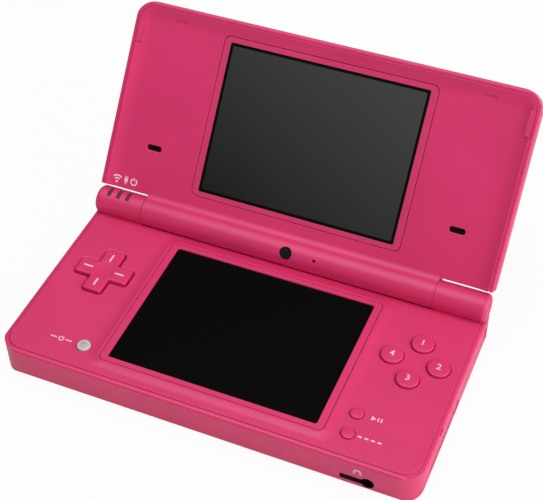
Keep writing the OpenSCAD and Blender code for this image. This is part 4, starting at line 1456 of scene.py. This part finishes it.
@dataclass
class RoundButton(Part):
    """A round push button: flange under the deck, cap with a rounded edge and a low crown."""

    node: str
    radius: float
    slot: str = "button_cap"
    edge: float = 0.42
    crown_rise: float = 0.10
    flange_t: float = 0.7

    def dress(self) -> bpy.types.Object:
        """Builds the button and mounts it on its own body.

        Returns:
            The finished cap, for marks to lie on.
        """
        box = extent_of(self.node)
        flange_r = box.size.x / 2
        foot = (box.middle.x, box.middle.y, box.low.z)
        cap = Workpiece.disc(f"{self.node}_cap", flange_r, foot, 72)
        cap.raise_solid(self.flange_t).shape_face([(flange_r - self.radius, 0)])
        cap.lift(box.size.z - self.flange_t - self.edge - self.crown_rise)
        cap.shape_face(round_over(self.edge, 5))
        cap.shape_face(crown(self.radius - self.edge, self.crown_rise, 6))
        return self.mount(cap, self.slot, self.node, body=self.node)


# ---------- Printed marks ----------


@dataclass
class ControlMarks(Part):
    """Numerals on the face buttons, and plain signs beside the small buttons."""

    numeral_height: float = 2.2
    stroke: float = 0.42
    deck_top: float = 11.4
    above: float = 0.05
    numbered: tuple[str, ...] = ("button_top", "button_right", "button_bottom", "button_left")
    wedge: Spot = (0.95, -1.1)
    pause: Point = (1.5, 0.5, 1.5)
    ticks: tuple[float, ...] = (-3.0, -1.0, 1.0, 3.0)
    tick: Spot = (1.3, 1.3)
    power_bar: Spot = (2.2, 2.6)
    row_ring: float = 0.8
    cap_ring: float = 0.85
    ring_shares: Point = (0.8, 1.1, 0.75)
    along: Point = (6.1, 6.7, -7.9)

    def ring(self, radius: float) -> list[Workpiece]:
        """Draws a power sign whose stroke, bar and bar's place are shares of its sizes."""
        stroke, length, level = self.ring_shares
        return power_sign(radius, self.stroke * stroke, radius * length, radius * level)

    def rows(self) -> tuple[tuple[str, str, float, list[Workpiece]], ...]:
        """Draws the signs on the deck.

        Returns:
            For each, its name, the button beside it, its place along X from there and its marks.
        """
        size, x = self.wedge
        wedge = Workpiece.disc("wedge", size, (0, 0, 0), 3).place(shift(x, 0, 0) @ turn(-90))
        length, *places = self.pause
        pause = [bar(length, self.stroke, (x, 0), 90) for x in places]
        long, wide = self.tick
        ticks = [bar(long, self.stroke * wide, (x, 0)) for x in self.ticks]
        length, far = self.power_bar
        power = self.ring(self.row_ring) + [bar(length, self.stroke, (x, 0)) for x in (-far, far)]
        start, select, switch = self.along
        return (
            ("start_sign", "start_button", start, [wedge, *pause]),
            ("select_sign", "select_button", select, ticks),
            ("power_sign", "power_button", switch, power),
        )

    def dress(self, deck: bpy.types.Object, caps: dict[str, bpy.types.Object]) -> None:
        """Lays the marks.

        Args:
            deck: The finished control face.
            caps: The finished caps, by CAD node.
        """
        height = self.numeral_height
        for number, node in enumerate(self.numbered, 1):
            mark = [numeral(str(number), height)]
            self.print_on(
                caps[node], f"{node}_numeral", mark, self.over(node), "button_cap", body=node
            )
        for name, node, along, marks in self.rows():
            at = extent_of(node).middle
            over = shift(at.x + along, at.y, self.deck_top + self.above)
            self.print_on(deck, name, marks, over, "deck_shell")
        node = "power_button"
        ring, place = self.ring(self.cap_ring), self.over(node)
        self.print_on(caps[node], "power_cap_sign", ring, place, "power_cap", "steel", node)

    def over(self, node: str) -> Matrix:
        """Gives the place over the middle of a button."""
        box = extent_of(node)
        return shift(box.middle.x, box.middle.y, box.high.z + self.above)


@dataclass
class HeadphoneMouth(Part):
    """Dark mouth of the headphone socket in the front wall, and the plain headband sign."""

    jack: Spot = (53.2, 3.7)
    hole_r: float = 1.74
    slot: Spot = (8.24, 1.46)
    slot_drop: float = 0.1
    slot_corner: float = 0.3  # as a share of its height
    wall: float = 0.05
    depth: float = 1.3
    flange: Spot = (0.3, 0.04)
    sign_at: Spot = (50.0, 7.25)
    sign_above: float = 0.05
    sign_r: float = 1.0
    sign_stroke: float = 0.55
    sign_sweep: Spot = (-15, 195)
    ear: Spot = (0.95, 0.7)
    ear_drop: float = 0.35

    def outline(self, name: str, grow: float, level: float, height: float) -> Workpiece:
        """Models a keyhole-shaped solid: a round hole with a slot to its left.

        Args:
            name: Name of the piece.
            grow: How far it is grown all round.
            level: Where it starts.
            height: How high it is.

        Returns:
            The solid, drawn flat round the jack's centre.
        """
        inset = HAIR / MM
        disc = Workpiece.disc(name, self.hole_r + grow, (0, 0, level), 48).raise_solid(height)
        width, depth, _ = grown((*self.slot, 0), grow)
        at = (-self.slot[0] / 2, -self.slot_drop, level + inset)
        slot = Workpiece.slab("slot", (width, depth, depth * self.slot_corner), at, 5)
        return disc.join(Join.ADD, slot.raise_solid(height - 2 * inset))

    def dress(self) -> None:
        """Builds the mouth and the sign and mounts both on the base."""
        front, upright = extent_of("base_housing").low.y, turn(90, "X")
        x, z = self.jack
        flange_w, flange_t = self.flange
        mouth = self.outline("headphone_mouth", self.wall, -self.depth, self.depth)
        mouth.join(Join.ADD, self.outline("flange", flange_w, -HAIR / MM, flange_t))
        hollow = self.outline("hollow", 0, -self.depth - SPARE, self.depth + 2 * SPARE)
        mouth.join(Join.CUT, hollow)
        mouth.place(shift(x, front, z) @ upright)
        self.mount(mouth, "dark_plastic", look="window_black")
        x, z = self.sign_at
        low, r = -self.ear_drop * self.sign_r, self.sign_r
        marks = [arc(r, self.sign_stroke, *self.sign_sweep)]
        marks += [bar(*self.ear, (side, low), 90) for side in (r, -r)]
        over = shift(x, front - self.sign_above, z) @ upright
        wall = frame["nodes"]["base_housing"]
        self.print_on(wall, "headphone_sign", marks, over, "case_shell")


# ---------- Lid ----------


@dataclass
class LidShell(Part):
    """Inner shell of the lid: dished face with a soft rim, and the middle barrel of the hinge."""

    width: float = 134.0
    near: float = 5.5
    far: float = 66.95
    corner: float = 5.5
    near_corner: float = 0.5
    back: float = 0.1
    rim: float = 2.5
    face: float = 1.3
    edge_round: float = 0.2
    dish_margin: float = 0.4
    dish_overhang: float = 20
    slope: float = 4.4
    slope_steps: int = 10
    slope_power: float = 1.8
    barrel_r: float = 4.8
    barrel_half: float = 50.95
    barrel_edge: float = 0.15
    bore_r: float = 3.3
    fillet_r: float = 3.0
    fillet_root: Spot = (1.2, 1.0)
    neck_end: float = 6.45
    neck_sunk: float = 0.2
    lens_corner: float = 2.1
    lens_gap: float = 0.22
    lens_lip: float = 0.15
    lens_deep: float = 0.05
    camera_hole_r: float = 2.15
    mic_x: float = 11.0
    mic_hole_r: float = 0.55
    sound_slot: Spot = (5.3, 1.9)
    slot_lip: float = 0.3
    slot_corner: float = 0.47  # as a share of its height
    cover_corner: float = 0.28
    cover_gap: float = 0.02
    cover_lip: float = 0.02
    cover_deep: float = 0.5
    seat_out: float = 0.3
    seat_grow: Spot = (0.7, 0.2)
    seat_deep: float = 0.9
    seat_corner: float = 0.5
    body: ClassVar[Body] = Body.LID

    def build(self) -> Workpiece:
        """Models the shell lying flat.

        Returns:
            The shell.
        """
        depth = self.far - self.near
        shell = Workpiece.tablet(
            "lid_inner_shell",
            (self.width, depth, self.corner),
            (0, self.near + depth / 2, self.back),
            self.rim - self.back,
            self.edge_round,
            arc=10,
            near=self.near_corner,
        )
        shell.join(Join.CUT, self.dish()).join(Join.ADD, self.barrel())
        holes = [LID.extent(node) for node in ("left_speaker", "upper_lens", "right_speaker")]
        places = {round(box.middle.x, 3) for box in holes + LID.islands("lid_screw_covers")}
        shell.score(Vector((1, 0, 0)), sorted(places))
        shell.join(Join.CUT, self.openings())
        half = self.barrel_half + SPARE
        return shell.join(Join.CUT, Workpiece.rod("bore", -half, half, self.bore_r, (0, 0), 96))

    def dish(self) -> Workpiece:
        """Models the cutter of the dish, steep at the rim and easing onto the face.

        Returns:
            The cutter.
        """
        margin, overhang = self.dish_margin, self.dish_overhang
        far = self.far - margin
        outline = (self.width - 2 * margin, far + overhang, self.corner - margin)
        cutter = Workpiece.slab("dish", outline, (0, (far - overhang) / 2, self.rim), 12)
        cutter.raise_solid(3 * SPARE).pick_underside()
        depth, n = self.rim - self.face, self.slope_steps
        curve = [1 - (1 - k / n) ** self.slope_power for k in range(n + 1)]
        steps = [(self.slope / n, depth * (b - a)) for a, b in zip(curve, curve[1:])]
        return cutter.shape_face(steps)

    def barrel(self) -> Workpiece:
        """Models the barrel with its neck and a soft fillet up to the face.

        Returns:
            The barrel.
        """
        half, radius, soft = self.barrel_half, self.barrel_r, self.fillet_r
        barrel = Workpiece.rod("barrel", -half, half, radius, (0, 0), 160)
        barrel.bevel(Kind.EDGE, lambda p: abs(abs(p.x) - half) < NEAR, self.barrel_edge, 2)
        reach, level = radius + soft, self.face + soft
        centre_u = math.sqrt(reach**2 - level**2)
        touch = radius / reach
        top = (half, self.neck_end, self.face - self.neck_sunk)
        neck = Workpiece.block("neck", (-half, 0, -radius), top)
        out, down = self.fillet_root
        low = (-half, centre_u * touch - out, self.face - down)
        fill = Workpiece.block("fillet", low, (half, centre_u, level * touch))
        wide = half + SPARE
        hollow = Workpiece.rod("hollow", -wide, wide, soft, (centre_u, level), 160)
        return barrel.join(Join.ADD, neck, fill.join(Join.CUT, hollow))

    def openings(self) -> Workpiece:
        """Models one cutter for the lens, sound slots, covers, bumpers, camera and microphone.

        Returns:
            The cutter.
        """
        lens, cutter, face = LID.extent("upper_lens"), Workpiece.cutter, self.face
        at, gap, lip = lens.middle, self.lens_gap, self.lens_lip
        outline = (lens.size.x + 2 * gap, lens.size.y + 2 * gap, self.lens_corner)
        depth = face - lens.low.z + self.lens_deep
        pocket = cutter("lid_openings", outline, (at.x, at.y, face), lip, depth)
        tools = []
        width, height = self.sound_slot
        depth = face - self.back + SPARE
        for node in ("left_speaker", "right_speaker"):
            at = LID.extent(node).middle
            outline = (width, height, height * self.slot_corner)
            mouth = (at.x, at.y, face)
            tools.append(cutter("sound_slot", outline, mouth, self.slot_lip, depth, 10))
        for box in LID.islands("lid_screw_covers"):
            side = box.size.x + 2 * self.cover_gap
            outline, mouth = (side, side, self.cover_corner), (box.middle.x, box.middle.y, face)
            tools.append(cutter("cover", outline, mouth, self.cover_lip, self.cover_deep, 4))
        for box in LID.islands("rim_bumpers"):
            wide, long = self.seat_grow
            outline = (box.size.x + wide, box.size.y + long, self.seat_corner)
            out = box.middle.x + math.copysign(self.seat_out, box.middle.x)
            floor = (out, box.middle.y, self.rim - self.seat_deep)
            seat = Workpiece.slab("bumper_seat", outline, floor, 4)
            tools.append(seat.raise_solid(3 * SPARE))
        camera = LID.extent("inner_camera_window").middle
        for x, radius in ((camera.x, self.camera_hole_r), (self.mic_x, self.mic_hole_r)):
            hole = Workpiece.disc("barrel_hole", radius, (x, 0, 0), 48)
            tools.append(hole.raise_solid(self.barrel_r + SPARE))
        return pocket.absorb(tools)

    def dress(self) -> bpy.types.Object:
        """Builds the shell, stands it up and mounts it in place of the CAD frame."""
        return self.mount(self.build().place(LID.matrix), "deck_shell", "lid_frame")


@dataclass
class Inlay(Part):
    """Flat pieces with a rounded upper edge and perhaps an opening, at the places of a CAD node."""

    name: str
    node: str
    slot: str
    corner: float
    edge: float
    facets: int = 3
    arc: int = 8
    look: str = ""
    size: Spot | None = None  # if not the node's
    drop: float = 0  # how far its top lies below the node's
    opening: Point | None = None
    lip: float = 0
    groove: tuple[Spot, ...] = ()  # steps that shape its top
    islands: bool = False  # whether the node has several pieces, and not one
    on: Body = Body.LID

    def piece(self, box: Extent) -> Workpiece:
        """Models one of the pieces.

        Args:
            box: Its place.

        Returns:
            The piece, not yet stood up.
        """
        (x, y, _), (width, depth, height) = box.middle, box.size
        width, depth = self.size or (width, depth)
        outline, high = (width, depth, self.corner), height - self.drop
        made = Workpiece.tablet(
            self.name, outline, (x, y, box.low.z), high, self.edge, self.facets, arc=self.arc
        )
        if self.groove:
            made.shape_face(self.groove)
        if self.opening:
            mouth = (x, y, box.high.z)
            hole = Workpiece.cutter("hole", self.opening, mouth, self.lip, height + SPARE)
            made.join(Join.CUT, hole)
        return made

    def dress(self) -> None:
        """Builds the pieces and mounts them together in place of the CAD node."""
        one = LID.extent if self.on is Body.LID else extent_of
        boxes = LID.islands(self.node) if self.islands else [one(self.node)]
        first, *others = [self.piece(box) for box in boxes]
        first.absorb(others)
        if self.on is Body.LID:
            first.place(LID.matrix)
        self.mount(first, self.slot, self.node, look=self.look, body=self.on.value)


SCREEN_RING = partial(
    Inlay,
    name="lower_screen_ring",
    node="lower_screen_frame",
    slot="deck_shell",
    corner=1.5,
    edge=0.14,
    opening=(68.4, 50.0, 0.8),
    lip=0.18,
    on=Body.BASE,
)
LENS = partial(Inlay, node="upper_lens")
PANE = partial(LENS, slot="camera_glass", corner=0.5, edge=0.02, facets=2, drop=0.012)
LID_INLAYS = (
    partial(
        Inlay,
        name="lid_square_covers",
        node="lid_screw_covers",
        slot="deck_shell",
        corner=0.25,
        edge=0.02,
        facets=2,
        arc=4,
        islands=True,
    ),
    partial(
        Inlay,
        name="rim_bumper_pads",
        node="rim_bumpers",
        slot="bumper_rubber",
        corner=0.4,
        edge=0.15,
        arc=5,
        groove=((0.145, 0), (0.06, -0.08), (0.06, 0.08)),
        islands=True,
    ),
    partial(
        LENS, name="lens_border", slot="lens_print", corner=2, edge=0.1, opening=(67.9, 49.8, 0.5)
    ),
    partial(
        PANE,
        name="window_border",
        look="window_black",
        size=(67.89, 49.79),
        opening=(65.9, 47.8, 0.5),
    ),
    partial(PANE, name="upper_window", look="upper_glass", size=(65.89, 47.79)),
)


@dataclass
class InnerCamera(Part):
    """Round window of the camera in the barrel, with a sloped collar and a small domed lens."""

    edge: float = 0.08
    flat: float = 0.2
    collar: float = 0.35
    collar_drop: float = 0.14
    floor_w: float = 0.35
    lens_edge: Spot = (0.02, 0.03)
    lens_rise: float = 0.22
    body: ClassVar[Body] = Body.LID

    def dress(self) -> None:
        """Builds the window and mounts it in place of its CAD node."""
        box = LID.extent("inner_camera_window")
        radius, foot = box.size.x / 2, (box.middle.x, box.middle.y, box.low.z)
        eye = Workpiece.disc("inner_camera_eye", radius, foot).raise_solid(box.size.z - self.edge)
        eye.shape_face(round_over(self.edge, 2))
        collar = (self.collar, -self.collar_drop)
        eye.shape_face([(self.flat, 0), collar, (self.floor_w, 0), self.lens_edge])
        lens_r = radius - self.edge - self.flat - self.collar - self.floor_w
        out, up = self.lens_edge
        eye.shape_face(crown(lens_r - out, self.lens_rise - up, 5)).place(LID.matrix)
        self.mount(eye, "camera_glass", "inner_camera_window")


@dataclass
class StatusSigns(Part):
    """Three plain signs on the lid above the status lights: radio waves, a plug and a ring."""

    stroke: float = 0.5
    row_u: float = 8.35
    above: float = 0.1
    places: Point = (-63.1, -59.9, -57.0)
    source: Spot = (0, -1.15)
    source_r: float = 0.42
    waves: tuple[Point, ...] = ((1.15, 45, 135), (2.1, 47, 133))
    plug: tuple[tuple[float, float, Spot], ...] = (
        (1.6, 1.3, (0, 0)),
        (0.8, 0.42, (-0.36, 0.95)),
        (0.8, 0.42, (0.36, 0.95)),
        (0.9, 0.42, (0, -1.05)),
    )
    ring: Point = (1.05, 1.1, 0.85)
    body: ClassVar[Body] = Body.LID

    def dress(self, shell: bpy.types.Object) -> None:
        """Lays the signs on the lid's face.

        Args:
            shell: The finished inner shell.
        """
        stroke, (radius, length, level) = self.stroke, self.ring
        waves = [Workpiece.disc("source", self.source_r, (*self.source, 0), 16)]
        waves += [arc(r, stroke, start, end, self.source) for r, start, end in self.waves]
        plug = [bar(*part, 90) for part in self.plug]
        signs = {
            "sign_waves": waves,
            "sign_plug": plug,
            "sign_ring": power_sign(radius, stroke, length, level),
        }
        face = LID.extent("upper_lens").high.z
        for x, (name, marks) in zip(self.places, signs.items()):
            over = LID.matrix @ shift(x, self.row_u, face + self.above)
            self.print_on(shell, name, marks, over, "deck_shell")


# ---------- Studio ----------


@dataclass(frozen=True)
class Lamp:
    """A soft rectangular lamp: its place and size in metres, and its power in watts."""

    name: str
    at: Point
    size: Spot
    power: float
    target: Point = (0, 0, 0.02)

    def hang(self) -> None:
        """Adds the lamp, turned to its target."""
        data = bpy.data.lights.new(self.name, "AREA")
        data.shape = "RECTANGLE"
        data.size, data.size_y = self.size
        data.energy = self.power
        lamp = bpy.data.objects.new(self.name, data)
        lamp.location = self.at
        way = Vector(self.target) - Vector(self.at)
        lamp.rotation_euler = way.to_track_quat("-Z", "Y").to_euler()
        bpy.context.scene.collection.objects.link(lamp)


@dataclass
class Studio:
    """Camera, lamps, world and floor."""

    lens: float = 87.38
    sensor: float = 36.0
    clip: float = 0.01
    eye: Point = (117.190, -247.599, 318.227)
    azimuth: float = 23.7245
    elevation: float = 45.126
    roll: float = -1.2149
    ambient: float = 0.24
    floor_size: float = 6.0
    floor_white: float = 0.93
    floor_grey: float = 0.86
    lamps: tuple[Lamp, ...] = (
        Lamp("top_soft", (-0.1, -0.02, 0.78), (0.62, 0.62), 3.5),
        Lamp("right_wall", (1.1, -0.1, 0.46), (1.8, 0.8), 13.5),
    )

    def camera(self) -> None:
        """Sets the camera at its solved place and angle."""
        az, el, roll = (math.radians(a) for a in (self.azimuth, self.elevation, self.roll))
        ahead = Vector((-math.sin(az) * math.cos(el), math.cos(az) * math.cos(el), -math.sin(el)))
        right0 = ahead.cross(Vector((0, 0, 1))).normalized()
        up0 = right0.cross(ahead)
        right = math.cos(roll) * right0 + math.sin(roll) * up0
        up = -math.sin(roll) * right0 + math.cos(roll) * up0
        data = bpy.data.cameras.new("camera")
        data.lens = self.lens
        data.sensor_width = self.sensor
        data.clip_start = self.clip
        camera = bpy.data.objects.new("camera", data)
        camera.matrix_world = (
            shift(*self.eye) @ Matrix((right, up, -ahead)).transposed().to_4x4()
        )
        bpy.context.scene.collection.objects.link(camera)
        bpy.context.scene.camera = camera

    def world(self) -> None:
        """Sets a white backdrop that lights the object less than it shows."""
        g = Graph("studio", world=True)
        white = {"Color": (1, 1, 1)}
        light = g.add("ShaderNodeBackground", {}, white | {"Strength": self.ambient})
        shown = g.add("ShaderNodeBackground", {}, white | {"Strength": 1.0})
        shaders = {0: g.seen_directly(), 1: light, 2: shown}
        bpy.context.scene.world = g.end("World", g.add("ShaderNodeMixShader", {}, shaders)).owner

    def floor(self) -> None:
        """Adds a plain pale floor that keeps a soft shadow."""
        clear_selection()
        bpy.ops.mesh.primitive_plane_add(size=self.floor_size)
        floor = bpy.context.object
        floor.name = "floor"
        g = Graph("floor_white")
        white = g.add("ShaderNodeEmission", {}, {"Color": (1, 1, 1), "Strength": 1.0})
        pale = g.add("ShaderNodeBsdfDiffuse", {}, {"Color": (self.floor_grey,) * 3})
        shaders = {0: g.seen_directly() * self.floor_white, 1: pale, 2: white}
        mixed = g.add("ShaderNodeMixShader", {}, shaders)
        floor.data.materials.append(g.end("Material", mixed).owner)

    def build(self) -> None:
        """Sets up the whole studio."""
        bpy.context.scene.view_settings.view_transform = "Standard"
        self.camera()
        self.world()
        for lamp in self.lamps:
            lamp.hang()
        self.floor()


def main() -> None:
    """Builds the console's looks in order."""
    logging.basicConfig(level=logging.INFO, format="%(name)s: %(message)s")
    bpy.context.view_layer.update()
    looks = Looks()
    for row in frame["record"]["subparts"]:
        mesh = frame["nodes"][row["node"]].data
        mesh.materials.clear()
        mesh.materials.append(looks[row["material_slot"]])
    deck = ControlDeck(looks).dress()
    SCREEN_RING(looks).dress()
    DirectionPad(looks).dress()
    sides, jobs = ("top", "left", "right", "bottom"), ("start", "select")
    buttons = [
        *(RoundButton(looks, f"button_{side}", 3.55) for side in sides),
        *(RoundButton(looks, f"{job}_button", 2.05, edge=0.35) for job in jobs),
        RoundButton(looks, "power_button", 2.2, slot="power_cap", edge=0.3),
    ]
    ControlMarks(looks).dress(deck, {button.node: button.dress() for button in buttons})
    HeadphoneMouth(looks).dress()
    shell = LidShell(looks).dress()
    for inlay in LID_INLAYS:
        inlay(looks).dress()
    InnerCamera(looks).dress()
    StatusSigns(looks).dress(shell)
    Studio().build()


if __name__ == "__main__":
    main()
